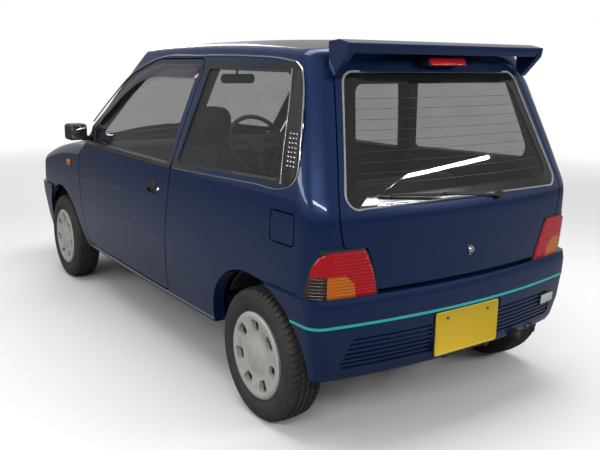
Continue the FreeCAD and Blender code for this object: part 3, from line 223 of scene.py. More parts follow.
def grid_faces(rows, columns, wrap_rows=False, wrap_columns=False):
    """The quads of a grid of points, closed on itself either way."""
    r = np.arange(rows if wrap_rows else rows - 1)
    c = np.arange(columns if wrap_columns else columns - 1)
    r, c = np.meshgrid(r, c, indexing="ij")
    r1, c1 = (r + 1) % rows, (c + 1) % columns
    quads = np.stack([r * columns + c, r * columns + c1, r1 * columns + c1, r1 * columns + c], axis=-1)
    return quads.reshape(-1, 4)


def make_object(name, points, faces, look, smooth=SHARP, caps=()):
    """A mesh object from one array of points and one of quads, with any end caps, shaded smooth up to an angle."""
    faces = [tuple(face) for face in np.asarray(faces, int).tolist()] + [tuple(cap) for cap in caps]
    mesh = bpy.data.meshes.new(name)
    mesh.from_pydata(np.asarray(points, float).reshape(-1, 3).tolist(), [], faces)
    mesh.update()
    obj = bpy.data.objects.new(name, mesh)
    bpy.context.scene.collection.objects.link(obj)
    tidy_mesh(mesh, smooth)
    if look is not None:
        mesh.materials.append(finish(look) if isinstance(look, str) else look)
    return obj


def tidy_mesh(mesh, smooth):
    """Merges doubles, points every face outwards and sets smooth shading up to an angle."""
    work = bmesh.new()
    work.from_mesh(mesh)
    bmesh.ops.remove_doubles(work, verts=work.verts, dist=1e-6)
    bmesh.ops.recalc_face_normals(work, faces=work.faces)
    work.to_mesh(mesh)
    work.free()
    mesh.shade_smooth()
    mesh.set_sharp_from_angle(angle=math.radians(smooth))


def frames_along(path, up):
    """Unit sideways and upward directions at each point of a path."""
    tangent = np.gradient(path, axis=0)
    tangent /= np.linalg.norm(tangent, axis=1, keepdims=True)
    side = np.cross(tangent, np.broadcast_to(np.asarray(up, float), tangent.shape))
    side /= np.linalg.norm(side, axis=1, keepdims=True)
    return side, np.cross(side, tangent)


def sweep(name, path, outline, look, up=(0, 0, 1), closed=False):
    """An outline of rows across, upwards carried along a path: point = path + across * side + upwards * up."""
    path, outline = np.asarray(path, float), np.asarray(outline, float)
    if closed:
        wide = np.concatenate([path[-2:], path, path[:2]])
        side, top = frames_along(wide, wide * 0 + up)
        side, top = side[2:-2], top[2:-2]
    else:
        side, top = frames_along(path, up)
    points = path[:, None] + outline[:, :1] * side[:, None] + outline[:, 1:] * top[:, None]
    count = len(outline)
    faces = grid_faces(len(path), count, closed, True)
    caps = () if closed else (range(count), range((len(path) - 1) * count, len(path) * count))
    return make_object(name, points, faces, look, SHARP_SWEPT, caps)


def disc_outline(radius, count):
    """A circle's points."""
    angle = np.linspace(0, 2 * math.pi, count, endpoint=False)
    return np.stack([radius * np.cos(angle), radius * np.sin(angle)], axis=1)


def slab(name, outer, inner, thickness, look, rows):
    """A closed plate whose front runs from one loop of points to another: row k is outer + k * (inner - outer)."""
    share = np.linspace(0, 1, rows)[:, None, None]
    return plate(name, outer[None] * (1 - share) + inner[None] * share, thickness, look, SHARP, True)


def plate(name, front, thickness, look, smooth=SHARP, wrap=False):
    """A closed plate from a grid of front points: the back is the front less thickness times the grid's normal."""
    rows, columns = front.shape[:2]
    along = np.gradient(front, axis=0)
    if wrap:
        across = (np.roll(front, -1, axis=1) - np.roll(front, 1, axis=1)) / 2
    else:
        across = np.gradient(front, axis=1)
    normal = np.cross(along, across)
    normal /= np.maximum(np.linalg.norm(normal, axis=2, keepdims=True), 1e-12)
    outward = np.sign((normal * (front - front.mean((0, 1)) * np.array((0.0, 0.0, 1.0)))).sum())
    both = np.concatenate([front, (front - normal * outward * thickness)[::-1]], axis=0)
    faces = grid_faces(2 * rows, columns, True, wrap)
    caps = ()
    if not wrap:
        ends = np.arange(2 * rows) * columns
        caps = split_caps((ends, ends + columns - 1))
    return make_object(name, both, faces, look, smooth, caps)


def split_caps(caps):
    """Each end of a plate as quads across its thickness."""
    faces = []
    for cap in caps:
        half = len(cap) // 2
        for k in range(half - 1):
            faces.append((cap[k], cap[k + 1], cap[-2 - k], cap[-1 - k]))
    return faces


def turned(name, rows, centre, look, axis, count):
    """A closed profile of rows radius, along turned about an axis: point = centre + radius * (cos, sin) + along."""
    rows = np.asarray(rows, float)
    angle = np.linspace(0, 2 * math.pi, count, endpoint=False)
    cos, sin = np.cos(angle)[:, None], np.sin(angle)[:, None]
    radius, along = rows[None, :, 0], rows[None, :, 1]
    flat = np.broadcast_to(along, (count, len(rows)))
    parts = {
        "X": (flat, radius * cos, radius * sin),
        "Y": (radius * cos, flat, radius * sin),
        "Z": (radius * cos, radius * sin, flat),
    }[axis]
    points = np.stack(parts, axis=-1) + np.asarray(centre, float)
    closed = bool(rows[0, 0] > 1e-6 or rows[-1, 0] > 1e-6)
    return make_object(name, points, grid_faces(count, len(rows), True, closed), look, SHARP_SWEPT)


def mirrored_copy(obj, name):
    """The same mesh on the other side of the centre plane, with its faces turned outwards again."""
    mesh = obj.data.copy()
    mesh.transform(Matrix.Scale(-1, 4, (0, 1, 0)))
    mesh.flip_normals()
    copy = bpy.data.objects.new(name, mesh)
    bpy.context.scene.collection.objects.link(copy)
    for modifier in obj.modifiers:
        if modifier.type == "BEVEL":
            add_bevel(copy, modifier.width, modifier.segments)
    return copy


def add_bevel(obj, width, segments=2):
    """Rounds the sharp edges."""
    bevel = obj.modifiers.new("Rounded edges", "BEVEL")
    bevel.width, bevel.segments = width, segments
    bevel.limit_method, bevel.angle_limit = "ANGLE", math.radians(ROUNDED_FROM)
    bevel.use_clamp_overlap = True
    bevel.harden_normals = True


def finish_piece(obj, body, slot, *nodes):
    """Rides a piece on its body and hides the CAD nodes that it stands for; its slot is not used."""
    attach(obj, body)
    if nodes:
        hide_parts(*nodes)
    return obj


def smooth_copy(node, look, slot, edge=0.0):
    """A CAD node's own mesh with its triangles joined and its shading smooth, standing for the node."""
    source = NODES[node].data
    points = get_points(source)
    corners = np.empty(len(source.loops), int)
    source.loops.foreach_get("vertex_index", corners)
    _, first, joined = np.unique(np.round(points / 1e-5).astype(np.int64), axis=0,
                                 return_index=True, return_inverse=True)
    faces = joined.reshape(-1)[corners].reshape(-1, 3)
    keep = (faces[:, 0] != faces[:, 1]) & (faces[:, 1] != faces[:, 2]) & (faces[:, 0] != faces[:, 2])
    mesh = bpy.data.meshes.new(node + "_skin")
    mesh.from_pydata(points[first].tolist(), [], faces[keep].tolist())
    mesh.update()
    mesh.shade_smooth()
    mesh.set_sharp_from_angle(angle=math.radians(SHARP_COPY))
    mesh.materials.append(finish(look))
    obj = bpy.data.objects.new(node + "_skin", mesh)
    bpy.context.scene.collection.objects.link(obj)
    if edge:
        add_bevel(obj, edge)
    return finish_piece(obj, BODY_OF[node], slot, node)


# Materials


class Wire:
    """A shader socket whose values Python's operators work on, by adding Math nodes."""

    def __init__(self, finish, socket):
        self.finish, self.socket = finish, socket

    def math(self, operation, *values):
        """A Math node's result for numbers or wires."""
        return self.finish.node("ShaderNodeMath", {"operation": operation}, dict(enumerate(values)))[0]

    def __add__(self, other):
        return self.math("ADD", self, other)

    def __radd__(self, other):
        return self.math("ADD", other, self)

    def __sub__(self, other):
        return self.math("SUBTRACT", self, other)

    def __rsub__(self, other):
        return self.math("SUBTRACT", other, self)

    def __mul__(self, other):
        return self.math("MULTIPLY", self, other)

    def __rmul__(self, other):
        return self.math("MULTIPLY", other, self)

    def __truediv__(self, other):
        return self.math("DIVIDE", self, other)

    def __pow__(self, other):
        return self.math("POWER", self, other)

    def __rpow__(self, other):
        return self.math("POWER", other, self)

    def __gt__(self, other):
        return self.math("GREATER_THAN", self, other)

    def __abs__(self):
        return self.math("ABSOLUTE", self)

    def wave(self):
        """Half of one plus the sine, so it runs from 0 to 1."""
        return self.math("SINE", self) * 0.5 + 0.5

    def clamp(self):
        return self.finish.node("ShaderNodeClamp", {}, {"Value": self})[0]


class Finish:
    """One material: a Principled shader whose colour, roughness and bump come from wires."""

    def __init__(self, name):
        self.material = bpy.data.materials.new(name)
        self.material.use_nodes = True
        self.tree = self.material.node_tree
        self.tree.nodes.clear()
        self.output = self.tree.nodes.new("ShaderNodeOutputMaterial")
        self.shader = self.tree.nodes.new("ShaderNodeBsdfPrincipled")
        self.tree.links.new(self.shader.outputs[0], self.output.inputs["Surface"])

    def node(self, kind, settings, values):
        """Adds a node: its settings first, then numbers or wires to its sockets; gives its outputs as wires."""
        node = self.tree.nodes.new(kind)
        for key, value in settings.items():
            if key == "stops":
                self.set_stops(node.color_ramp, value)
            else:
                setattr(node, key, value)
        for key, value in values.items():
            self.put(node.inputs[key], value)
        return [Wire(self, socket) for socket in node.outputs]

    def set_stops(self, ramp, stops):
        """Gives a ramp its colours by position."""
        while len(ramp.elements) < len(stops):
            ramp.elements.new(0.5)
        for element, (position, colour) in zip(ramp.elements, stops.items()):
            element.position = position
            element.color = (*colour, 1)

    def put(self, socket, value):
        """Links a wire to a socket, or sets its number or colour."""
        if isinstance(value, Wire):
            self.tree.links.new(value.socket, socket)
        elif hasattr(socket.default_value, "__len__"):
            count = len(socket.default_value)
            socket.default_value = tuple(value) + (1.0,) * (count - len(value))
        else:
            socket.default_value = value

    def set(self, **values):
        """Puts numbers, colours or wires on the shader; underscores in a name stand for spaces."""
        for key, value in values.items():
            self.put(self.shader.inputs[key.replace("_", " ")], value)

    def place(self):
        """Object coordinates as three wires."""
        vector = self.node("ShaderNodeTexCoord", {}, {})[3]
        return self.node("ShaderNodeSeparateXYZ", {}, {0: vector})

    def point(self, scale=(1, 1, 1)):
        """Object coordinates as one wire, stretched by a scale."""
        vector = self.node("ShaderNodeTexCoord", {}, {})[3]
        return self.node("ShaderNodeMapping", {}, {"Vector": vector, "Scale": scale})[0]

    def noise(self, scale, detail, stretch=(1, 1, 1)):
        """A noise in space, from 0 to 1."""
        return self.node("ShaderNodeTexNoise", {}, {
            "Vector": self.point(stretch), "Scale": scale, "Detail": detail})[0]

    def cells(self, scale):
        """Each point's distance from its nearest cell's middle, and the cell's own colour."""
        return self.node("ShaderNodeTexVoronoi", {}, {"Vector": self.point(), "Scale": scale})

    def pattern(self, scale, detail):
        """A noise, or cells where the detail is 0."""
        return self.noise(scale, detail) if detail else self.cells(scale)[0]

    def ramp(self, value, stops):
        return self.node("ShaderNodeValToRGB", {"stops": stops}, {0: value})[0]

    def blend(self, share, first, second):
        """A colour between two, by a share."""
        return self.node("ShaderNodeMix", {"data_type": "RGBA"}, {0: share, 6: first, 7: second})[2]

    def bump(self, height, distance, strength=1.0):
        """Feeds a height in shares of distance to the shader's normal."""
        normal = self.node("ShaderNodeBump", {}, {
            "Height": height, "Distance": distance, "Strength": strength})[0]
        self.put(self.shader.inputs["Normal"], normal)
        return self


def settings():
    """The sizes and colours that a user may change."""
    return bpy.context.scene.kei_car


def plain(name, spot, colours, rough, bump, share=1.0, **constants):
    """A finish that follows one pattern: its colour runs between two or over a ramp's stops, and so does roughness.

    spot is the pattern's scale and detail. rough is a constant, or a start and what the pattern adds to it.
    bump is the depth in metres, then the scale and detail of its own pattern where that isn't the same one.
    """
    f = Finish(name)
    cloud = f.pattern(*spot)
    base = f.ramp(cloud, colours) if isinstance(colours, dict) else f.blend(cloud * share, *colours)
    f.set(Base_Color=base, Roughness=rough if isinstance(rough, float) else cloud * rough[1] + rough[0], **constants)
    return f.bump(f.pattern(*bump[1:]) if bump[1:] else cloud, bump[0])


def make_paint():
    """Metallic paint: flakes tilt the base a little, dust dulls it low down, and a clear coat lies over it.

    Two creases pressed into the sides are bumps: a bell of the height above a line that slopes along X.
    """
    f = Finish("body_paint")
    colour = tuple(settings().paint)
    flake = f.node("ShaderNodeSeparateColor", {}, {0: f.cells(2600.0)[1]})[0]
    x, y, height = f.place()
    dust = ((0.62 - height) * 1.6).clamp() * f.noise(9.0, 5.0)
    lively = f.blend(flake * 0.35, colour, tuple(min(1.0, c * 2.8) for c in colour))
    f.set(Base_Color=f.blend(dust * 0.10, lively, (0.06, 0.058, 0.055)), Metallic=0.35,
          Roughness=0.30 + dust * 0.25 + f.noise(3.0, 3.0) * 0.06,
          Specular_IOR_Level=0.2, Coat_Weight=1.0, Coat_IOR=1.33, Coat_Roughness=0.035)
    sides = abs(y) > 0.60
    creases = 0.0
    for start, end, low, high in ((-0.10, 0.80, 0.7134, 0.6620), (-0.98, 0.55, 0.5680, 0.5560)):
        slope = (high - low) / (end - start)
        away = (height - (x * slope + (low - slope * start))) / 0.007
        reach = ((x - start) * 9.0).clamp() * ((end - x) * 9.0).clamp()
        creases = (2.718 ** (away * away * -1.0)) * reach * sides + creases
    return f.bump(creases + f.noise(900.0, 1.0) * 0.006, 0.0028)


def make_glass():
    """Tinted window glass with faint dust."""
    f = Finish("window_glass")
    dust = f.noise(6.0, 5.0)
    f.set(Base_Color=f.blend(dust * 0.3, tuple(settings().glass), (0.10, 0.10, 0.10)), Roughness=0.01 + dust * 0.03,
          Alpha=0.30 + dust * 0.06, IOR=1.52, Coat_Weight=1.0, Coat_Roughness=0.01)
    return f


def make_visor():
    """Smoked purple-grey acrylic of the door visors."""
    f = Finish("visor_acrylic")
    dust = f.noise(9.0, 4.0)
    f.set(Base_Color=(0.045, 0.032, 0.060), Roughness=0.04 + dust * 0.05, Alpha=0.62 + dust * 0.05,
          Coat_Weight=0.6, Coat_Roughness=0.03)
    return f


def make_bright():
    """Bright anodised trim with fine polish lines."""
    f = Finish("bright_trim")
    lines = f.noise(60.0, 3.0, (1, 14, 14))
    f.set(Base_Color=(0.62, 0.63, 0.65), Metallic=1.0, Roughness=0.16 + lines * 0.16)
    return f.bump(lines, 0.00002)


def make_lens():
    """Clear fluted headlamp glass, painted lighter along each flute as a painted highlight."""
    f = Finish("headlamp_glass")
    flutes_and_highlight = (f.place()[1] * 420.0).wave()
    # The lighter band on each flute is a painted highlight; the same pattern bumps the flutes
    f.set(Base_Color=f.blend(flutes_and_highlight, (0.62, 0.64, 0.65), (0.80, 0.82, 0.83)), Roughness=0.05 + flutes_and_highlight * 0.08,
          Metallic=0.55, Alpha=0.88, Coat_Weight=1.0, Coat_Roughness=0.01)
    return f.bump(flutes_and_highlight, 0.0006, 0.5)


def make_lamp(name):
    """Moulded lamp plastic: prisms crossed on the inside, painted lighter on their crests as a painted highlight, and
    a smooth outer face under a coat.
    """
    f = Finish(name)
    x, y, z = f.place()
    prism_and_highlight = (z * 900.0).wave() * ((y + x) * 900.0).wave()
    # The prisms' lighter colour is a painted highlight; the same pattern also bumps them and roughens them
    f.set(Base_Color=f.blend(prism_and_highlight, *LAMP_COLOURS[name]), Roughness=0.16 + prism_and_highlight * 0.10,
          Specular_IOR_Level=0.25, Coat_Weight=1.0, Coat_IOR=1.33, Coat_Roughness=0.02)
    return f.bump(prism_and_highlight, 0.0004, 0.35)


def make_cloth():
    """Woven seat cloth: two crossing threads with a small fleck, and sheen."""
    f = Finish("seat_cloth")
    x, y, z = f.place()
    weave = (y * 2400.0).wave() * ((x + z) * 2400.0).wave()
    shade = f.ramp(f.noise(260.0, 2.0), {0.40: (0.040, 0.040, 0.044), 0.60: (0.075, 0.074, 0.080),
                                         0.72: (0.15, 0.145, 0.15)})
    f.set(Base_Color=f.blend(weave * 0.35, shade, (0.11, 0.11, 0.115)), Roughness=0.86,
          Sheen_Weight=0.25, Sheen_Roughness=0.4)
    return f.bump(weave, 0.0005)


def make_stripe():
    """Teal pinstripe tape."""
    return plain("teal_stripe", (20.0, 4.0), (tuple(settings().stripe), (0.02, 0.30, 0.28)), (0.25, 0.1),
                 (0.00002,), 0.3, Coat_Weight=0.4)


# The moulded colour of each lamp plastic, and the lighter colour of its prisms, which is a painted highlight
LAMP_COLOURS = {
    "lamp_red": ((0.36, 0.0006, 0.006), (0.66, 0.004, 0.022)),
    "lamp_amber": ((0.50, 0.11, 0.004), (0.72, 0.22, 0.015)),
    "lamp_smoked": ((0.020, 0.012, 0.010), (0.09, 0.045, 0.02)),
    "lamp_white": ((0.45, 0.46, 0.47), (0.75, 0.76, 0.77)),
}

MAKERS = {
    "paint": make_paint, "glass": make_glass, "visor": make_visor, "bright": make_bright, "lens": make_lens,
    "cloth": make_cloth, "stripe": make_stripe,
}

# Finishes that follow one pattern, in plain's own terms
PLAIN = {
    # Black paint on the window surrounds, with faint dust
    "window_black": dict(name="window_black", spot=(7.0, 4.0), share=0.25, rough=(0.10, 0.10),
                         colours=((0.004, 0.004, 0.005), (0.03, 0.03, 0.032)), bump=(0.00002, 420.0, 1.0),
                         Coat_Weight=0.5, Coat_Roughness=0.05),
    # Grained black moulding, paler where it is worn and dusty
    "moulding": dict(name="black_moulding", spot=(11.0, 5.0), share=0.6, rough=(0.42, 0.18),
                     colours=((0.008, 0.008, 0.009), (0.035, 0.034, 0.033)), bump=(0.00012, 900.0, 0)),
    # Weathered sealing rubber
    "rubber": dict(name="seal_rubber", spot=(30.0, 5.0), rough=(0.55, 0.2),
                   colours=((0.010, 0.010, 0.010), (0.040, 0.039, 0.038)), bump=(0.0001, 700.0, 2.0)),
    # The pale, weathered lip of the hatch glass seal
    "seal_pale": dict(name="seal_pale", spot=(24.0, 5.0), rough=(0.4, 0.2),
                      colours=((0.20, 0.20, 0.20), (0.42, 0.42, 0.41)), bump=(0.0001,)),
    # Brown printed heater wire
    "heater": dict(name="heater_wire", spot=(90.0, 2.0), rough=0.5, Metallic=0.3,
                   colours=((0.16, 0.08, 0.04), (0.24, 0.13, 0.07)), bump=(0.00002,)),
    # Chrome plating with slight water marks
    "chrome": dict(name="chrome", spot=(45.0, 5.0), rough=(0.06, 0.12), Metallic=1.0,
                   colours=((0.55, 0.56, 0.58), (0.72, 0.73, 0.74)), bump=(0.00001,)),
    # Silvered mirror glass
    "mirror": dict(name="mirror_glass", spot=(12.0, 4.0), rough=(0.02, 0.03), Metallic=1.0,
                   colours=((0.30, 0.31, 0.31), (0.36, 0.37, 0.37)), bump=(0.00001,)),
    # Dusty tyre rubber
    "tyre": dict(name="tyre_rubber", spot=(16.0, 6.0), share=0.9, rough=(0.62, 0.22),
                 colours=((0.012, 0.012, 0.012), (0.055, 0.052, 0.048)), bump=(0.00025, 500.0, 3.0)),
    # Wheel cover paint: warm pale grey with patches of brake dust
    "cover": dict(name="wheel_cover", spot=(22.0, 6.0), rough=(0.36, 0.2), Metallic=0.25,
                  colours={0.35: (0.56, 0.555, 0.52), 0.62: (0.49, 0.48, 0.445), 0.85: (0.30, 0.285, 0.26)},
                  bump=(0.00006, 300.0, 2.0), Coat_Weight=0.3, Coat_Roughness=0.15),
    # Plain dull steel with road film
    "steel": dict(name="dull_steel", spot=(26.0, 6.0), rough=(0.42, 0.3), Metallic=0.7,
                  colours={0.3: (0.20, 0.20, 0.20), 0.7: (0.09, 0.08, 0.07)}, bump=(0.0002,)),
    # Cast metal with a sandy skin and rust in patches
    "iron": dict(name="cast_iron", spot=(14.0, 6.0), rough=(0.55, 0.3), Metallic=0.6,
                 colours={0.4: (0.07, 0.07, 0.07), 0.75: (0.13, 0.065, 0.035)}, bump=(0.0004, 420.0, 4.0)),
    # Dark sealed underside with road dust
    "under": dict(name="underside", spot=(8.0, 6.0), rough=(0.7, 0.2),
                  colours=((0.006, 0.006, 0.007), (0.026, 0.024, 0.022)), bump=(0.0006, 260.0, 4.0)),
    # Grained soft dashboard plastic
    "dash": dict(name="dash_plastic", spot=(7.0, 3.0), share=0.5, rough=(0.5, 0.15),
                 colours=((0.030, 0.030, 0.032), (0.055, 0.055, 0.058)), bump=(0.0003, 520.0, 0)),
    # Short carpet pile
    "carpet": dict(name="carpet", spot=(620.0, 4.0), rough=0.95,
                   colours=((0.018, 0.018, 0.019), (0.065, 0.064, 0.066)), bump=(0.002,)),
    # Pale grey headlining cloth with tiny dimples
    "headlining": dict(name="headlining", spot=(420.0, 0), share=0.5, rough=0.9,
                       colours=((0.30, 0.30, 0.29), (0.42, 0.42, 0.40)), bump=(0.0005,)),
    # Reflective yellow number plate, left blank
    "plate": dict(name="plate_yellow", spot=(14.0, 5.0), share=0.5, rough=(0.32, 0.14),
                  colours=((0.74, 0.50, 0.012), (0.55, 0.36, 0.02)), bump=(0.00004, 300.0, 2.0)),
}

FINISHES = {}


def finish(name):
    """One of this car's materials by its plain name, made when it is first asked for."""
    if name not in FINISHES:
        if name in LAMP_COLOURS:
            made = make_lamp(name)
        else:
            made = MAKERS[name]() if name in MAKERS else plain(**PLAIN[name])
        FINISHES[name] = made.material
    return FINISHES[name]


# Settings


class KeiCarSettings(bpy.types.PropertyGroup):
    """Sizes and colours of the dressed car."""

    paint: FloatVectorProperty(
        name="Body paint", description="Base colour of the metallic body paint",
        default=(0.0030, 0.0150, 0.062), size=3, min=0, max=1, subtype="COLOR")
    glass: FloatVectorProperty(
        name="Window tint", description="Colour of the window glass",
        default=(0.010, 0.013, 0.014), size=3, min=0, max=1, subtype="COLOR")
    stripe: FloatVectorProperty(
        name="Bumper stripe", description="Colour of the pinstripe round the bumpers",
        default=(0.02, 0.50, 0.46), size=3, min=0, max=1, subtype="COLOR")
    edge: FloatProperty(
        name="Panel edge", description="Rounding along the edges of the body panels",
        default=0.0012, min=0, soft_max=0.004, unit="LENGTH")
    tread_blocks: IntProperty(
        name="Tread blocks", description="Blocks round each tyre", default=64, min=12, max=120)
    tread_depth: FloatProperty(
        name="Tread depth", description="Depth of the tyre grooves", default=0.0065, min=0, unit="LENGTH")
    trim: FloatProperty(
        name="Trim width", description="Width of the bright trim round the side windows",
        default=0.0065, min=0.001, unit="LENGTH")


# The skin, and pieces laid on it


def corner(z, rear=rear_x, extra=0.0, radius=None):
    """The rear corner in plan at each height: its circle's middle, radius, and its angles at the rear and the side.

    The circle touches the rear arc and the side arc from inside, so its middle lies one radius less than each
    arc's own radius from that arc's middle.
    """
    z = np.asarray(z, float)
    taper = REAR_CORNER_R - np.maximum(z - BELT[1], 0) * REAR_CORNER_TAPER
    size = taper if radius is None else radius + 0 * z
    low = body_y(z) + extra - SIDE_BOW_R
    near = REAR_BOW_X - rear(z) - size
    far = SIDE_BOW_R - size
    dx, dy = SIDE_BOW_X - REAR_BOW_X, low
    gap = np.hypot(dx, dy)
    along = (near ** 2 - far ** 2 + gap ** 2) / (2 * gap)
    high = np.sqrt(near ** 2 - along ** 2)
    x = REAR_BOW_X + dx / gap * along + dy / gap * high
    y = dy / gap * along - dx / gap * high
    return x, y, size, np.arctan2(y, x - REAR_BOW_X), np.arctan2(y - low, x - SIDE_BOW_X), low


def skin(s, z, proud=0.0, **form):
    """A point of the left half of the skin at a height: s runs from the rear corner's start, forwards round it.

    Below 0 it counts y along the rear arc, then the corner's arc length, then x along the side arc.
    """
    s, z = np.broadcast_arrays(np.asarray(s, float), np.asarray(z, float))
    x, y, size, first, last, low = corner(z, **form)
    length = size * (first - last)
    reach = np.hypot(x - REAR_BOW_X, y) + size
    rear_angle = math.pi - np.arcsin((y + size * np.sin(first) + np.minimum(s, 0)) / reach)
    turn = first - np.clip(s, 0, length) / size
    side_x = x + size * np.cos(last) + np.maximum(s - length, 0)
    side_angle = np.arccos((side_x - SIDE_BOW_X) / SIDE_BOW_R)
    on_rear, on_side = s < 0, s > length
    middle_x = np.where(on_rear, REAR_BOW_X, np.where(on_side, SIDE_BOW_X, x))
    middle_y = np.where(on_rear, 0.0, np.where(on_side, low, y))
    radius = np.where(on_rear, reach, np.where(on_side, SIDE_BOW_R, size)) + proud
    angle = np.where(on_rear, rear_angle, np.where(on_side, side_angle, turn))
    return np.stack([middle_x + radius * np.cos(angle), middle_y + radius * np.sin(angle), z], axis=-1)


def bumper_rear(z):
    """The rear bumper's centre profile, straight between its rows."""
    return np.interp(z, [0.254, 0.280, 0.360, 0.470, 0.524, 0.556],
                     [-1.608, -1.624, -1.6405, -1.6475, -1.6475, -1.6395])


BUMPER = {"rear": bumper_rear, "extra": 0.012, "radius": 0.062}


def on_side(x, z, height=0.0):
    """Points on the left side of the body, at a height off the skin."""
    return np.stack([x, side_y(x, z) + height, z], axis=-1)


def on_rear(y, z, height=0.0):
    """Points on the rear face, at a height off the skin."""
    return np.stack([rear_face(y, z) - height, y, z], axis=-1)


def on_bumper(y, z, height=0.0):
    """Points on the rear bumper's face, at a height off it."""
    reach = REAR_BOW_X - bumper_rear(z)
    return np.stack([REAR_BOW_X - np.sqrt(reach ** 2 - y ** 2) - height, y, z], axis=-1)


def on_plane(axis, at, side=1):
    """A place function that lays u and v on the flat plane where an axis has one value, with height to one side."""
    def place(u, v, height):
        points = [u, v]
        points.insert(axis, at + side * height + 0 * u)
        return np.stack(points, axis=-1)
    return place


def loop_on(place, corners, height, steps=8):
    """A rounded outline laid on a surface, at a height off it."""
    loop = rounded(corners, steps)
    return place(loop[:, 0], loop[:, 1], height)


def tablet(name, corners, layers, place, look, steps=6):
    """A rounded outline stacked in layers of inset and height: place lays each on its surface, and caps close it."""
    base = rounded(corners, steps)
    middle = (base.max(0) + base.min(0)) / 2
    half = (base.max(0) - base.min(0)) / 2
    loops = []
    for inset, height in layers:
        loop = middle + (base - middle) * (1 - inset / half)
        loops.append(place(loop[:, 0], loop[:, 1], height))
    count = len(base)
    last = (len(layers) - 1) * count
    return make_object(name, np.concatenate(loops), grid_faces(len(layers), count, False, True), look, SHARP,
                       (range(count), range(last, last + count)))


def fitting(name, corners, layers, place, look, body, slot, steps=6):
    """A tablet that rides a body."""
    return finish_piece(tablet(name, corners, layers, place, look, steps), body, slot)


def strip(name, points, width, height, look, count):
    """A low, rounded strip along a smooth curve laid on the side."""
    line = smooth_path(points, count)
    half = width / 2
    outline = [(-half, -0.001), (-half, height * 0.5), (-half * 0.6, height), (half * 0.6, height),
               (half, height * 0.5), (half, -0.001)]
    return sweep(name, on_side(line[:, 0], line[:, 1]), outline, look, (0, 1, 0))


def tube(name, points, radius, look):
    """A round tube along a smooth curve through points."""
    return sweep(name, smooth_path(points, 60), disc_outline(radius, 10), look)


def pair(left, slot, door=False):
    """Rides a left piece and its mirror image on the body, or each on its own door."""
    right = mirrored_copy(left, left.name.replace("_left", "_right"))
    finish_piece(left, "left_door" if door else "chassis", slot)
    finish_piece(right, "right_door" if door else "chassis", slot)
    return left, right


def join(name, pieces):
    """One object from several, with their meshes' points and faces counted on from each other."""
    points, faces, start = [], [], 0
    for piece in pieces:
        mesh = piece.data
        points += [tuple(vertex.co) for vertex in mesh.vertices]
        faces += [tuple(start + k for k in face.vertices) for face in mesh.polygons]
        start += len(mesh.vertices)
        look = mesh.materials[0]
        bpy.data.objects.remove(piece)
        bpy.data.meshes.remove(mesh)
    return make_object(name, points, [], look, SHARP, faces)


def box_corners(u0, v0, u1, v1, radius):
    """The rows of a rounded rectangle."""
    return [(u0, v0, radius), (u1, v0, radius), (u1, v1, radius), (u0, v1, radius)]


def cast(node, starts, direction):
    """Where rays from some starting points first meet a CAD node; a ray that misses raises an error."""
    mesh = NODES[node].data
    tree = BVHTree.FromPolygons([vertex.co for vertex in mesh.vertices],
                                [face.vertices for face in mesh.polygons])
    hits = [tree.ray_cast(Vector(start), Vector(direction))[0] for start in starts]
    if any(hit is None for hit in hits):
        raise RuntimeError("A ray misses %s" % node)
    return np.array(hits)


def on_node(node, axis, side):
    """A place function that lays u and v on a node, seen along an axis from outside: side is +1 or -1."""
    others = [k for k in range(3) if k != axis]
    direction = [0.0, 0.0, 0.0]
    direction[axis] = -side

    def place(u, v, height):
        """Rays from far outside meet the node; height is added along the axis."""
        starts = np.zeros((len(u), 3))
        starts[:, axis] = side * 3.0
        starts[:, others[0]], starts[:, others[1]] = u, v
        points = cast(node, starts, direction)
        points[:, axis] += side * height
        return points
    return place


def pillow(middle, half, tilt, power=0.35, taper=0.0, dish=0.0):
    """A cushion's blank: a boxy ellipsoid, whose sines and cosines are raised to a power under 1.

    taper narrows it along its height, dish raises its sides, and tilt turns it about Y in degrees.
    """
    lon = np.linspace(0, 2 * math.pi, 64, endpoint=False)[:, None]
    lat = np.linspace(-math.pi / 2, math.pi / 2, 40)[None]

    def soft(value):
        return np.sign(value) * np.abs(value) ** power
    thick = soft(np.sin(lat)) + 0 * lon
    wide = soft(np.cos(lat)) * soft(np.sin(lon))
    long = soft(np.cos(lat)) * soft(np.cos(lon))
    narrow = 1 - taper * np.clip(long, 0, 1) ** 2
    x, y = half[0] * long, half[1] * wide * narrow
    z = half[2] * thick + dish * np.abs(wide) ** 3 * (thick > 0)
    cos, sin = math.cos(math.radians(tilt)), math.sin(math.radians(tilt))
    points = np.stack([middle[0] + x * cos - z * sin, middle[1] + y, middle[2] + x * sin + z * cos], axis=-1)
    return points, grid_faces(64, 40, True, False)


def cushion(name, blanks, channels):
    """Upholstery: blanks are joined by a voxel remesh, blown up as cloth, and sewn in along channels.

    A channel is a function of the points that gives each one's distance from the sewn line, with OFF added where
    the channel doesn't reach; the surface sinks by a bell of that distance.
    """
    points = np.concatenate([blank[0].reshape(-1, 3) for blank in blanks])
    counts = np.cumsum([0] + [blank[0].size // 3 for blank in blanks[:-1]])
    faces = np.concatenate([blank[1] + start for blank, start in zip(blanks, counts)])
    obj = make_object(name, points, faces, None)
    remesh = obj.modifiers.new("Joined", "REMESH")
    remesh.mode, remesh.voxel_size = "VOXEL", VOXEL
    bake_modifiers(obj)
    blow_up(obj)
    sew(obj, channels)
    obj.data.shade_smooth()
    obj.data.materials.append(finish("cloth"))
    return obj


def bake_modifiers(obj):
    """Puts the mesh that an object's modifiers make in its place."""
    bpy.context.view_layer.update()
    made = bpy.data.meshes.new_from_object(obj.evaluated_get(bpy.context.evaluated_depsgraph_get()))
    obj.modifiers.clear()
    obj.data = made


def get_points(mesh, what="co"):
    """Each point's place, or its normal, as rows of three."""
    values = np.empty(len(mesh.vertices) * 3)
    mesh.vertices.foreach_get(what, values)
    return values.reshape(-1, 3)


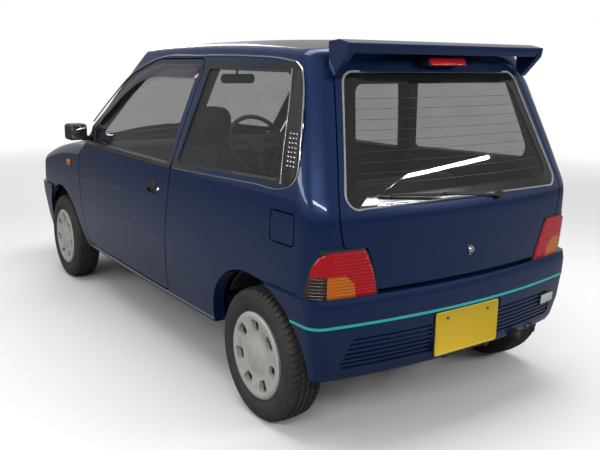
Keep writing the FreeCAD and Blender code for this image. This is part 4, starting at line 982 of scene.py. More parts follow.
def blow_up(obj):
    """Runs some frames of pressurised cloth, keeps each point's move up to a limit, and divides the faces once."""
    start = get_points(obj.data)
    cloth = obj.modifiers.new("Cloth", "CLOTH")
    cloth.settings.use_pressure = True
    cloth.settings.uniform_pressure_force = CLOTH_PRESSURE
    cloth.settings.quality = 5
    cloth.settings.effector_weights.gravity = 0
    cloth.point_cache.frame_start, cloth.point_cache.frame_end = 1, CLOTH_FRAMES
    for step in range(1, CLOTH_FRAMES + 1):
        bpy.context.scene.frame_set(step)
    made = obj.evaluated_get(bpy.context.evaluated_depsgraph_get()).to_mesh()
    moved = get_points(made) - start
    obj.evaluated_get(bpy.context.evaluated_depsgraph_get()).to_mesh_clear()
    obj.modifiers.clear()
    bpy.context.scene.frame_set(1)
    length = np.linalg.norm(moved, axis=1, keepdims=True)
    moved *= np.minimum(1, CLOTH_REACH / np.maximum(length, 1e-9))
    obj.data.vertices.foreach_set("co", (start + moved).ravel())
    obj.data.update()
    fine = obj.modifiers.new("Finer", "SUBSURF")
    fine.levels = fine.render_levels = 1
    bake_modifiers(obj)


def sew(obj, channels):
    """Sinks the surface along each sewn channel."""
    mesh = obj.data
    points, normals = get_points(mesh), get_points(mesh, "normal")
    depth = sum(CHANNEL_DEPTH * np.exp(-(channel(points) / CHANNEL_WIDTH) ** 2) for channel in channels)
    points -= normals * depth[:, None]
    mesh.vertices.foreach_set("co", points.ravel())
    mesh.update()


# Operators


class PieceOperator(bpy.types.Operator):
    """Base of the operators that build one group of pieces."""

    bl_options = {"REGISTER", "UNDO"}

    def execute(self, context):
        self.build()
        return {"FINISHED"}


class KEI_OT_body(PieceOperator):
    """Panels of the body, smooth and painted, standing for their CAD nodes"""

    bl_idname = "kei.body"
    bl_label = "Body panels"

    def build(self):
        edge = settings().edge
        for node in ("side_panel_left", "side_panel_right", "roof_panel", "door_left", "door_right", "hatch",
                     "bonnet", "fenders", "nose_panel", "front_bumper", "rear_bumper", "fuel_flap"):
            smooth_copy(node, "paint", "paint", edge)
        smooth_copy("rear_panel", "paint", "paint")
        spoiler = smooth_copy("hatch_spoiler", "paint", "paint", 0.006)
        spoiler.modifiers[0].segments = 4
        smooth_copy("cowl_panel", "moulding", "black_plastic")
        for node in ("door_mirror_left", "door_mirror_right"):
            smooth_copy(node, "moulding", "black_plastic", 0.001)


class KEI_OT_glass(PieceOperator):
    """Window panes laid on the skin's curves, and the headlamps"""

    bl_idname = "kei.glass"
    bl_label = "Glass"

    def build(self):
        hatch = [(-0.540, 0.850, 0.040), (0.540, 0.850, 0.040), (0.430, 1.290, 0.050), (-0.430, 1.290, 0.050)]
        finish_piece(self.pane("hatch_pane", hatch, on_rear), "tailgate", "glass", "hatch_glass")
        screen = [(-0.606, 0.084, 0.060), (0.0, 0.014, 2.600), (0.606, 0.084, 0.060), (0.478, 0.806, 0.060),
                  (-0.478, 0.806, 0.060)]
        finish_piece(self.pane("windscreen_pane", screen, on_screen), "chassis", "glass", "windscreen")
        quarter = pair(self.pane("quarter_pane_left", QUARTER_HOLE, on_side), "glass")
        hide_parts("quarter_glasses")
        door = pair(self.pane("door_pane_left", DOOR_GLASS, on_side), "glass", True)
        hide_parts("door_glass_left")
        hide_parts("door_glass_right")
        smooth_copy("headlamps", "lens", "lamp_clear", 0.001)

    def pane(self, name, corners, place):
        """Loops shrink from the rounded outline to its middle, in front and behind, 5 mm apart."""
        outline = rounded(corners, 10)
        middle = (outline.max(0) + outline.min(0)) / 2
        share = 1 - np.linspace(0.0006, 1, 16)
        front, back = ([place(*(middle + (outline - middle) * k).T, -GLASS_SINK - depth) for k in share]
                       for depth in (0, GLASS_THICKNESS))
        rows = np.stack(back[::-1] + front)
        return make_object(name, rows, grid_faces(len(rows), len(outline), False, True), finish("glass"), 30.0)


class KEI_OT_running_gear(PieceOperator):
    """Underbody, axles, suspension, exhaust, wheels and the other pieces below"""

    bl_idname = "kei.running_gear"
    bl_label = "Running gear"

    def build(self):
        for look, slot, edge, nodes in (
                ("under", "underside", 0, ("underbody", "bulkhead", "aprons")),
                ("steel", "steel", 0.001, ("front_suspension", "rear_axle", "exhaust", "fuel_tank")),
                ("iron", "iron", 0.001, ("engine_block", "knuckle_left", "knuckle_right")),
                ("moulding", "black_plastic", 0, ("front_wipers", "rear_wiper")),
                ("dash", "dash_plastic", 0.001, ("dashboard", "steering_wheel"))):
            for node in nodes:
                smooth_copy(node, look, slot, edge)
        for place, side in WHEELS.items():
            self.wheel(place, side)

    def wheel(self, place, side):
        """The wheel with its cover, and a dark ring behind the cover's openings: painted shade where the rim's face
        would show through.
        """
        smooth_copy("wheel_" + place, "cover", "cover", 0.001)
        low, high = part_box("tyre_" + place)
        middle, half = (low + high) / 2, (high.y - low.y) / 2
        rows = [(0.080, 0.0), (0.141, 0.0), (0.141, -0.003), (0.080, -0.003)]
        rows = [(radius, side * (half - 0.0268 + along)) for radius, along in rows]
        # A dark ring just inside the cover, standing for the shade within the wheel: painted shade
        shade_ring = turned("wheel_well_" + place, rows, middle, "under", "Y", 64)
        finish_piece(shade_ring, BODY_OF["wheel_" + place], "underside")


class KEI_OT_tyres(PieceOperator):
    """Tyres with grooves and blocks across the tread"""

    bl_idname = "kei.tyres"
    bl_label = "Tyres"

    bead_radius = 0.153
    groove_at = (-0.034, -0.0115, 0.0115, 0.034)
    groove_half = 0.0036
    groove_lip = 0.0006
    shoulder_width = 0.020
    rib_half = 0.0115
    skew = 0.35

    def build(self):
        for place in WHEELS:
            self.tyre("tyre_" + place)

    def tread(self, half, outer):
        """Across the tread: y, radius and whether each point lies in a groove; the crown drops as y squared."""
        edge, wide, lip = half - self.shoulder_width, self.groove_half, self.groove_lip
        across, down = [-edge, -edge + 0.003], [0.0, 0.0]
        for middle in self.groove_at:
            across += [middle - wide - lip, middle - wide, middle + wide, middle + wide + lip]
            down += [0.0, 1.0, 1.0, 0.0]
        across, down = np.array(across + [edge - 0.003, edge]), np.array(down + [0.0, 0.0])
        return across, outer - 0.0045 * (across / edge) ** 2, down

    def tyre(self, node):
        """A profile turned about the axle; on the tread, grooves and gaps lower it by shares of the tread depth."""
        low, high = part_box(node)
        centre, half, outer = (low + high) / 2, (high.y - low.y) / 2, (high.z - low.z) / 2
        inner = self.bead_radius
        depth, count = settings().tread_depth, settings().tread_blocks
        across, crown, down = self.tread(half, outer)
        wall = np.array([
            (inner, half - 0.022), (inner, half - 0.014), (inner + 0.012, half - 0.011),
            (inner + 0.020, half - 0.0085), (inner + 0.034, half - 0.0025), (inner + 0.045, half),
            (inner + 0.060, half - 0.0012), (inner + 0.0615, half - 0.0030), (inner + 0.067, half - 0.0034),
            (inner + 0.0685, half - 0.0022), (outer - 0.022, half - 0.0055), (outer - 0.012, half - 0.0105),
            (outer - 0.0068, half - 0.0155)])
        bead = np.array([(inner + 0.007, half - 0.026), (inner + 0.007, -half + 0.026)])
        radius = np.concatenate([wall[:, 0], crown[::-1], wall[::-1, 0], bead[::-1, 0]])
        along = np.concatenate([wall[:, 1], across[::-1], -wall[::-1, 1], bead[::-1, 1]])
        first, last = len(wall), len(wall) + len(across)
        cut, shoulder = np.zeros((2, len(radius)))
        cut[first:last] = down[::-1]
        shoulder[first - 2:last + 2] = 1.0
        turn = (np.arange(count)[:, None] + (0.0, 0.02, 0.80, 0.82)).ravel() / count
        gap = 1 - np.tile((0.0, 1.0, 1.0, 0.0), count)[:, None]
        lower = np.maximum(cut, gap * shoulder * np.where(np.abs(along) < self.rib_half, 0.35, 0.9)) * depth
        angle = 2 * math.pi * turn[:, None] + np.abs(along) * self.skew / outer * shoulder
        reach = radius - lower
        points = np.stack([centre.x + reach * np.cos(angle), centre.y + np.broadcast_to(along, reach.shape),
                           centre.z + reach * np.sin(angle)], axis=-1)
        obj = make_object(node + "_rubber", points, grid_faces(len(turn), len(radius), True, True),
                          finish("tyre"), 28.0)
        finish_piece(obj, BODY_OF[node], "tyre", node)


DOOR_GLASS = [(-0.522, 0.886, 0.016), (-0.636, 1.292, 0.026), (-0.246, 1.288, 0.250), (0.030, 1.212, 0.300),
              (0.402, 0.970, 0.024), (0.392, 0.886, 0.014)]
DOOR_BLACK = [(-0.556, 0.881, 0.020), (-0.672, 1.322, 0.040), (-0.240, 1.318, 0.270), (0.044, 1.240, 0.320),
              (0.460, 0.972, 0.020), (0.452, 0.881, 0.014)]
QUARTER_GLASS = [(-0.604, 0.898, 0.022), (-0.714, 1.292, 0.026), (-1.290, 1.288, 0.050),
                 (-1.3405, 1.108, 0.300), (-1.392, 0.926, 0.060)]
QUARTER_HOLE = QUARTER_GLASS[:3] + QUARTER_GLASS[4:]
QUARTER_BLACK = [(-0.570, 0.884, 0.016), (-0.689, 1.322, 0.030), (-1.318, 1.320, 0.070),
                 (-1.412, 1.150, 0.300), (-1.462, 0.916, 0.070)]


class KEI_OT_window_surrounds(PieceOperator):
    """Black surrounds of the windows with their bright trim, rubber and vents"""

    bl_idname = "kei.window_surrounds"
    bl_label = "Window surrounds"

    def build(self):
        self.side_windows()
        self.hatch_window()
        self.windscreen()
        self.trims()
        self.vents()

    def side_windows(self):
        """Each surround spans from one rounded outline on the side skin to another inside it."""
        for name, door, inner, outer in (("door_surround", True, DOOR_GLASS, DOOR_BLACK),
                                         ("quarter_surround", False, QUARTER_GLASS, QUARTER_BLACK)):
            pair(slab(name + "_left", loop_on(on_side, outer, 0.0014), loop_on(on_side, inner, 0.0004), 0.0022,
                      "window_black", 4), "black_plastic", door)
            pair(sweep(name + "_seal_left", loop_on(on_side, inner, -0.0012, 10), disc_outline(0.0030, 8), "rubber",
                       (0, 1, 0.1), True), "black_plastic", door)

    def hatch_window(self):
        """A black border on the hatch glass inside its pale seal, and nine heater wires behind the glass."""
        outer = [(-0.536, 0.854, 0.038), (0.536, 0.854, 0.038), (0.427, 1.287, 0.048), (-0.427, 1.287, 0.048)]
        inner = [(-0.492, 0.888, 0.036), (0.492, 0.888, 0.036), (0.392, 1.250, 0.040), (-0.392, 1.250, 0.040)]
        border = slab("hatch_border", loop_on(on_rear, outer, -0.0024, 12), loop_on(on_rear, inner, -0.0024, 12),
                      0.0010, "window_black", 5)
        finish_piece(border, "tailgate", "black_plastic")
        seal = [(-0.541, 0.849, 0.041), (0.541, 0.849, 0.041), (0.431, 1.291, 0.051), (-0.431, 1.291, 0.051)]
        ring = sweep("hatch_seal", loop_on(on_rear, seal, -0.0005, 14), disc_outline(0.0042, 8), "seal_pale",
                     (-1, 0, 0.4), True)
        finish_piece(ring, "tailgate", "black_plastic")
        for row in range(9):
            z = 0.925 + row * 0.0345
            y = np.linspace(-0.470 + (z - 0.925) * 0.24, 0.470 - (z - 0.925) * 0.24, 40)
            wire = sweep("heater_wire_%d" % row, on_rear(y, z + 0 * y, -0.0086), disc_outline(0.0007, 6), "heater",
                         (-1, 0, 0.4))
            finish_piece(wire, "tailgate", "black_plastic")

    def windscreen(self):
        """A black border round the windscreen, on its cylinder."""
        outer = [(-0.604, 0.086, 0.06), (0.0, 0.016, 2.6), (0.604, 0.086, 0.06), (0.476, 0.804, 0.06),
                 (-0.476, 0.804, 0.06)]
        inner = [(-0.560, 0.130, 0.05), (0.0, 0.064, 2.6), (0.560, 0.130, 0.05), (0.446, 0.770, 0.05),
                 (-0.446, 0.770, 0.05)]
        border = slab("windscreen_border", loop_on(on_screen, outer, -0.0023, 10),
                      loop_on(on_screen, inner, -0.0023, 10), 0.0008, "window_black", 4)
        finish_piece(border, "chassis", "black_plastic")

    def trims(self):
        """Bright and dull strips along the drip rail, the quarter window, the belt line and the sill."""
        trim = settings().trim
        for name, points, width, height, look, slot, count in (
                ("drip_trim", [(0.452, 1.000), (0.250, 1.136), (0.060, 1.252), (-0.090, 1.304), (-0.245, 1.333),
                               (-0.600, 1.342), (-1.000, 1.341), (-1.200, 1.333), (-1.296, 1.322)],
                 trim, 0.004, "bright", "steel", 120),
                ("quarter_trim", [(-1.299, 1.321), (-1.338, 1.298), (-1.362, 1.262), (-1.388, 1.198),
                                  (-1.412, 1.119), (-1.429, 1.054), (-1.441, 0.999), (-1.440, 0.942),
                                  (-1.420, 0.919), (-1.390, 0.908), (-1.200, 0.899), (-0.900, 0.889),
                                  (-0.580, 0.879)], trim * 0.8, 0.0032, "bright", "steel", 260),
                ("belt_strip", [(0.452, 0.874), (0.100, 0.875), (-0.250, 0.876), (-0.552, 0.877)],
                 0.013, 0.005, "rubber", "black_plastic", 120),
                ("quarter_line", [(-1.283, 1.300), (-1.317, 1.178), (-1.333, 1.096), (-1.350, 0.997),
                                  (-1.364, 0.918)], 0.0045, 0.0035, "bright", "steel", 120),
                ("sill_line", [(0.560, 0.289), (0.200, 0.287), (-0.300, 0.287), (-0.860, 0.288)],
                 0.006, 0.0025, "bright", "steel", 120)):
            pair(strip(name + "_left", points, width, height, look, count), slot, name == "belt_strip")

    def vents(self):
        """The air outlet panel behind the quarter window: rows of small bright slats on a black plate."""
        outline = [(-1.296, 1.300, 0.02), (-1.344, 1.288, 0.02), (-1.384, 1.190, 0.30), (-1.432, 0.998, 0.10),
                   (-1.430, 0.930, 0.03), (-1.374, 0.920, 0.01), (-1.326, 1.178, 0.30)]
        pair(tablet("vent_panel_left", outline, [(0.0, -0.001), (0.0, 0.0020), (0.003, 0.0032)], on_side,
                    "moulding"), "black_plastic")
        slots = []
        for row in range(8):
            for column in range(3):
                z = 1.088 - row * 0.0150
                x = -1.3655 - column * 0.0175 - row * 0.0026
                corners = [(x + 0.0050, z + 0.0044, 0.001), (x - 0.0050, z + 0.0006, 0.001),
                           (x - 0.0050, z - 0.0044, 0.001), (x + 0.0050, z - 0.0006, 0.001)]
                slots.append(tablet("slot", corners, [(0.0, 0.0030), (0.0, 0.0046), (0.0012, 0.0052)], on_side,
                                    "bright", 2))
        pair(join("vent_slots_left", slots), "steel")


class KEI_OT_tail_lamps(PieceOperator):
    """Tail lamps: ribbed red lens with amber and smoked parts on a black base"""

    bl_idname = "kei.tail_lamps"
    bl_label = "Tail lamps"

    low, waist, high = 0.546, 0.632, 0.714
    inner = ((0.546, 0.577, 0.640, 0.700, 0.714), (-0.168, -0.165, -0.149, -0.122, -0.108))
    outer = ((0.546, 0.586, 0.633, 0.672, 0.699, 0.708, 0.714), (0.090, 0.089, 0.080, 0.069, 0.051, 0.036, 0.012))
    amber = ((0.546, 0.600, 0.6315), (-0.086, -0.078, -0.046))

    def build(self):
        """Each part's edges are curves of s over the height; a flat curve is one value."""
        low, high, waist = self.low, self.high, self.waist - 0.0004
        edges = {
            "base": (self.inner, self.outer), "top": (self.inner, self.outer), "inner": (self.inner, self.amber),
            "amber": (self.amber, ((0, 1), (0.020, 0.020))), "outer": (((0, 1), (0.0204, 0.0204)), self.outer)}
        parts = []
        for name, start, end, look, slot in (
                ("base", low - 0.005, high + 0.009, "rubber", "black_plastic"),
                ("top", self.waist, high, "lamp_red", "lamp_red"),
                ("inner", low, waist, "lamp_red", "lamp_red"),
                ("amber", low, waist, "lamp_amber", "lamp_red"),
                ("outer", low, waist, "lamp_smoked", "lamp_red")):
            parts.append((self.patch("lamp_%s_left" % name, edges[name], start, end, look, name == "base"), slot))
        rides = [pair(*part) for part in parts]
        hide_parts("tail_lamps")

    def patch(self, name, edges, low, high, look, base):
        """A lens over rows of height and columns of s: it swells from the outline's edge, with ribs level across.

        The base has neither swell nor ribs, and stands out a little round the lenses.
        """
        z = np.linspace(low, high, 96)[:, None]
        share = np.linspace(0, 1, 72)[None]
        start, end = (np.interp(z, *edge) for edge in edges)
        if base:
            start, end = start - 0.005, end + 0.006 + (z > 0.71) * 0.03
        s = start * (1 - share) + end * share
        edge = np.minimum(np.minimum(s - np.interp(z, *self.inner), np.interp(z, *self.outer) - s),
                          np.minimum(z - self.low, self.high - z))
        edge = np.clip(edge / 0.009, 0, 1)
        rib = 0.5 + 0.5 * np.cos(2 * math.pi * (z - self.low) / 0.0118)
        ribbed = (np.clip((0.010 - s) / 0.02, 0, 1)
                  + np.where(z < self.waist, np.clip((s - 0.012) / 0.01, 0, 1), 0))
        proud, swell, thickness = (0.0012, 0.0, 0.003) if base else (0.0022, 0.0052, 0.006)
        height = proud + swell * np.sqrt(1 - (1 - edge) ** 2) - swell * 0.35 * rib ** 3 * np.clip(ribbed, 0, 1) * edge
        return plate(name, skin(s, z + 0 * s, height), thickness, look, SHARP_SWEPT)


class KEI_OT_rear_fittings(PieceOperator):
    """Stripe, plate, lock, lamps, exhaust tip and towing eye at the rear"""

    bl_idname = "kei.rear_fittings"
    bl_label = "Rear fittings"

    def build(self):
        self.stripe()
        self.number_plate()
        self.lock()
        self.lamps()
        self.exhaust_tip()
        self.towing_eye()

    def stripe(self):
        """The pinstripe lies on the bumper's skin from the middle round to the wheel arch."""
        z = np.linspace(0.4555, 0.4650, 3)[:, None]
        x, y, size, first, last = corner(STRIPE_Z, **BUMPER)[:5]
        end = size * (first - last) + STRIPE_END_X - (x + size * np.cos(last))
        s = np.concatenate([np.linspace(-float(y + size * np.sin(first)), 0, 40)[:-1],
                            np.linspace(0, float(end), 30)])[None]
        pair(plate("bumper_stripe_left", skin(s + 0 * z, z + 0 * s, 0.0014, **BUMPER), 0.0022, "stripe"), "paint")

    def number_plate(self):
        """A pressed blank plate with a raised rim, two bolts and a dark frame behind it."""
        flat = on_plane(0, PLATE_X, -1)
        fitting("plate_frame", box_corners(-0.168, 0.279, 0.168, 0.447, 0.006),
                [(0.0, 0.0003), (0.0, 0.0040), (0.001, 0.0050)], flat, "moulding", "chassis", "black_plastic")
        fitting("number_plate", box_corners(-0.165, 0.281, 0.165, 0.446, 0.010),
                [(0.0, 0.0050), (0.0, 0.0068), (0.0012, 0.0078), (0.0030, 0.0080), (0.0048, 0.0078),
                 (0.0062, 0.0066)], flat, "plate", "chassis", "paint", 8)
        for hand, y in (("left", 0.105), ("right", -0.105)):
            bolt = turned("plate_bolt_" + hand, [(0, 0.002), (0.0055, 0.002), (0.0062, 0.0), (0.0058, -0.0022),
                          (0.0030, -0.0040), (0, -0.0043)], (-1.6408, y, 0.420), "steel", "X", 24)
            finish_piece(bolt, "chassis", "steel")
        for hand, y in (("left", 0.105), ("right", -0.112)):
            fitting("plate_foot_" + hand, box_corners(y - 0.014, 0.266, y + 0.014, 0.281, 0.004),
                    [(0.0, 0.0), (0.0, 0.006), (0.002, 0.008)], flat, "moulding", "chassis", "black_plastic")

    def lock(self):
        """Chrome lock barrel with a keyhole ring on the hatch, and a small lever under it."""
        barrel = turned("hatch_lock", [(0, -0.0035), (0.0050, -0.0035), (0.0056, -0.0062), (0.0110, -0.0062),
                        (0.0140, -0.0030), (0.0148, 0.0), (0.0148, 0.004), (0, 0.004)],
                        (-1.6352, 0, 0.662), "chrome", "X", 48)
        finish_piece(barrel, "tailgate", "steel")
        fitting("hatch_lock_lever", box_corners(-0.0055, 0.640, 0.0055, 0.654, 0.003),
                [(0.0, -0.002), (0.0, 0.003), (0.0015, 0.0045)], on_rear, "chrome", "tailgate", "steel")

    def lamps(self):
        """White reversing lamp in the right slats and the red lamp high on the hatch."""
        fitting("reversing_case", box_corners(-0.566, 0.352, -0.462, 0.400, 0.006),
                [(0.0, -0.012), (0.0, 0.0005), (0.002, 0.0025)], on_bumper, "moulding", "chassis", "black_plastic")
        fitting("reversing_lamp", box_corners(-0.561, 0.357, -0.467, 0.395, 0.005),
                [(0.0, 0.0020), (0.0, 0.0045), (0.003, 0.0070), (0.008, 0.0080)], on_bumper, "lamp_white",
                "chassis", "lamp_clear")
        fitting("high_lamp_case", box_corners(-0.092, 1.312, 0.092, 1.342, 0.005),
                [(0.0, -0.002), (0.0, 0.050), (0.002, 0.052)], on_rear, "moulding", "tailgate", "black_plastic")
        fitting("high_lamp", box_corners(-0.088, 1.315, 0.088, 1.339, 0.004),
                [(0.0, 0.0515), (0.0, 0.0550), (0.003, 0.0570)], on_rear, "lamp_red", "tailgate", "lamp_red")

    def exhaust_tip(self):
        """A sleeve over the end of the exhaust pipe, with a sunk end."""
        rows = [(0.0186, 0.060), (0.0205, 0.058), (0.0205, 0.000), (0.0198, -0.0010), (0.0176, -0.0010),
                (0.0170, 0.0), (0.0170, 0.0008), (0.0, 0.0010), (0.0, 0.060)]
        sleeve = turned("exhaust_sleeve", rows, (-1.6290, -0.318, 0.259), "moulding", "X", 48)
        finish_piece(sleeve, "chassis", "steel")

    def towing_eye(self):
        """A closed loop of round bar on a short shank under the bumper."""
        turn = np.linspace(0, 2 * math.pi, 48, endpoint=False)
        loop = np.stack([-1.585 + 0.020 * np.cos(turn), -0.442 + 0 * turn, 0.255 + 0.016 * np.sin(turn)], axis=1)
        eye = sweep("towing_eye", loop, disc_outline(0.0045, 10), "iron", (0, 1, 0), True)
        finish_piece(eye, "chassis", "iron")
        shank = tube("towing_shank", [(-1.566, -0.442, 0.258), (-1.540, -0.442, 0.272), (-1.500, -0.442, 0.284)],
                     0.006, "iron")
        finish_piece(shank, "chassis", "iron")


class KEI_OT_side_fittings(PieceOperator):
    """Door handles, locks, mirrors' glass, side markers and window visors"""

    bl_idname = "kei.side_fittings"
    bl_label = "Side fittings"

    def build(self):
        self.handles()
        self.markers()
        self.mirrors()
        self.visors()

    def handles(self):
        """A black bezel, the pocket's floor, a paddle over its upper half and a chrome lock."""
        outer = box_corners(-0.4185, 0.7375, -0.3175, 0.7985, 0.017)
        inner = box_corners(-0.4130, 0.7430, -0.3230, 0.7930, 0.013)
        pair(slab("handle_bezel_left", loop_on(on_side, outer, 0.0016), loop_on(on_side, inner, 0.0016), 0.0028,
                  "rubber", 3), "black_plastic", True)
        pair(tablet("handle_floor_left", inner, [(0.0005, -0.0136), (0.0005, -0.0120)], on_side, "rubber"),
             "black_plastic", True)
        pair(tablet("handle_paddle_left", box_corners(-0.4110, 0.7600, -0.3250, 0.7910, 0.008),
                    [(0.002, -0.0110), (0.0, -0.0060), (0.0, 0.0010), (0.0025, 0.0032)], on_side, "moulding"),
             "black_plastic", True)
        middle = (-0.440, float(side_y(-0.440, 0.767)), 0.767)
        pair(turned("door_lock_left", [(0, 0.0030), (0.0040, 0.0030), (0.0046, 0.0040), (0.0082, 0.0036),
                    (0.0100, 0.0010), (0.0100, -0.004), (0, -0.004)], middle, "chrome", "Y", 32), "steel", True)

    def markers(self):
        """Domed amber lenses in rubber gaskets on the front wings."""
        pair(tablet("marker_gasket_left", box_corners(0.795, 0.718, 0.867, 0.760, 0.012),
                    [(0.0, -0.002), (0.0, 0.0016), (0.0015, 0.0024)], on_side, "rubber"), "black_plastic")
        pair(tablet("marker_left", box_corners(0.799, 0.722, 0.863, 0.756, 0.010),
                    [(0.0, 0.0015), (0.0, 0.0050), (0.0025, 0.0085), (0.0080, 0.0105)], on_side, "lamp_amber"),
             "lamp_red")

    def mirrors(self):
        """The mirror glass and its rim on the back of each door mirror."""
        back = on_plane(0, 0.4512, -1)
        pair(tablet("mirror_rim_left", box_corners(0.6960, 0.9065, 0.7845, 0.9825, 0.016),
                    [(0.0, -0.002), (0.0, 0.0012), (0.0015, 0.0020)], back, "moulding"), "black_plastic", True)
        pair(tablet("mirror_glass_left", box_corners(0.7000, 0.9105, 0.7805, 0.9785, 0.014),
                    [(0.0, 0.0012), (0.0, 0.0024), (0.0008, 0.0028)], back, "mirror"), "glass", True)

    def visors(self):
        """A smoked shade along the top of each door window: it stands off most along its lower edge."""
        count, near = 90, 0.0022
        top = smooth_path([(0.372, 1.012), (0.235, 1.105), (0.040, 1.222), (-0.080, 1.270), (-0.236, 1.302),
                           (-0.430, 1.306), (-0.646, 1.308)], count)
        low = smooth_path([(0.352, 0.985), (0.212, 1.066), (0.040, 1.166), (-0.080, 1.216), (-0.236, 1.246),
                           (-0.430, 1.250), (-0.630, 1.252)], count)
        step = np.arange(count)
        ends = np.sqrt(np.clip(np.minimum(step, count - 1 - step) / 6.0, 0, 1))
        rows = []
        for share, lift in ((0, near), (0.12, 0.0070), (0.5, 0.0130), (0.85, 0.0150), (1, 0.0146)):
            line = top * (1 - share) + low * share
            rows.append(on_side(line[:, 0], line[:, 1], near + (lift - near) * ends))
        pair(plate("visor_left", np.stack(rows), 0.0022, "visor"), "glass", True)


class KEI_OT_seats(PieceOperator):
    """Padded front seats with head rests, and the rear bench"""

    bl_idname = "kei.seats"
    bl_label = "Seats"

    def build(self):
        left = self.front_seat()
        right = mirrored_copy(left, "front_seat_right")
        for seat in (left, right):
            finish_piece(seat, "chassis", "seat_cloth")
        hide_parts("front_seats")
        bench = self.bench()
        finish_piece(bench, "chassis", "seat_cloth", "rear_seat")
        self.frames()

    def front_seat(self):
        """Cushion, back and head rest, with a channel inside each side roll and four across."""
        blanks = [
            pillow((0.195, SEAT_Y, 0.405), (0.215, 0.205, 0.036), 3.0, 0.4, 0.10, 0.020),
            pillow((-0.078, SEAT_Y, 0.675), (0.255, 0.200, 0.030), 102.5, 0.4, 0.15),
            pillow((-0.172, SEAT_Y, 1.030), (0.095, 0.130, 0.034), 102.5, 0.55),
        ]
        channels = [
            lambda p: np.abs(np.abs(p[:, 1] - SEAT_Y) - 0.135) + OFF * (p[:, 2] > 0.90),
            lambda p: np.abs(p[:, 2] - 0.560) + OFF * (p[:, 0] > 0.05),
            lambda p: np.abs(p[:, 2] - 0.915),
            lambda p: np.abs(p[:, 0] - 0.150) + OFF * (p[:, 2] < 0.40),
            lambda p: np.abs(p[:, 0] - 0.300) + OFF * (p[:, 2] < 0.40),
        ]
        return cushion("front_seat_left", blanks, channels)

    def bench(self):
        """Bench cushion and back, split by a channel in the middle, one each side and one across the back."""
        blanks = [
            pillow((-0.900, 0, 0.480), (0.160, 0.430, 0.045), 3.0, 0.3),
            pillow((-1.125, 0, 0.700), (0.185, 0.430, 0.026), 103.0, 0.3),
        ]
        channels = [
            lambda p: np.abs(p[:, 1]),
            lambda p: np.abs(np.abs(p[:, 1]) - 0.24),
            lambda p: np.abs(p[:, 2] - 0.740) + OFF * (p[:, 0] > -1.02),
        ]
        return cushion("rear_bench", blanks, channels)

    def frames(self):
        """Slide rails and side covers under the front seats."""
        channel = [(-0.016, -0.012), (-0.016, 0.010), (-0.008, 0.014), (0.008, 0.014), (0.016, 0.010),
                   (0.016, -0.012)]
        for offset in (-0.165, 0.165):
            path = np.linspace((-0.060, SEAT_Y + offset, 0.304), (0.430, SEAT_Y + offset, 0.304), 12)
            pair(sweep("seat_rail_left", path, channel, "steel"), "steel")
        outline = [(-0.060, 0.318, 0.01), (0.410, 0.318, 0.03), (0.425, 0.372, 0.02), (-0.010, 0.372, 0.02),
                   (-0.085, 0.425, 0.02)]
        for offset in (-0.218, 0.203):
            pair(tablet("seat_cover_left", outline, [(0.0, 0.0), (0.0, 0.012), (0.003, 0.015)],
                        on_plane(1, SEAT_Y + offset), "moulding"), "dash_plastic")


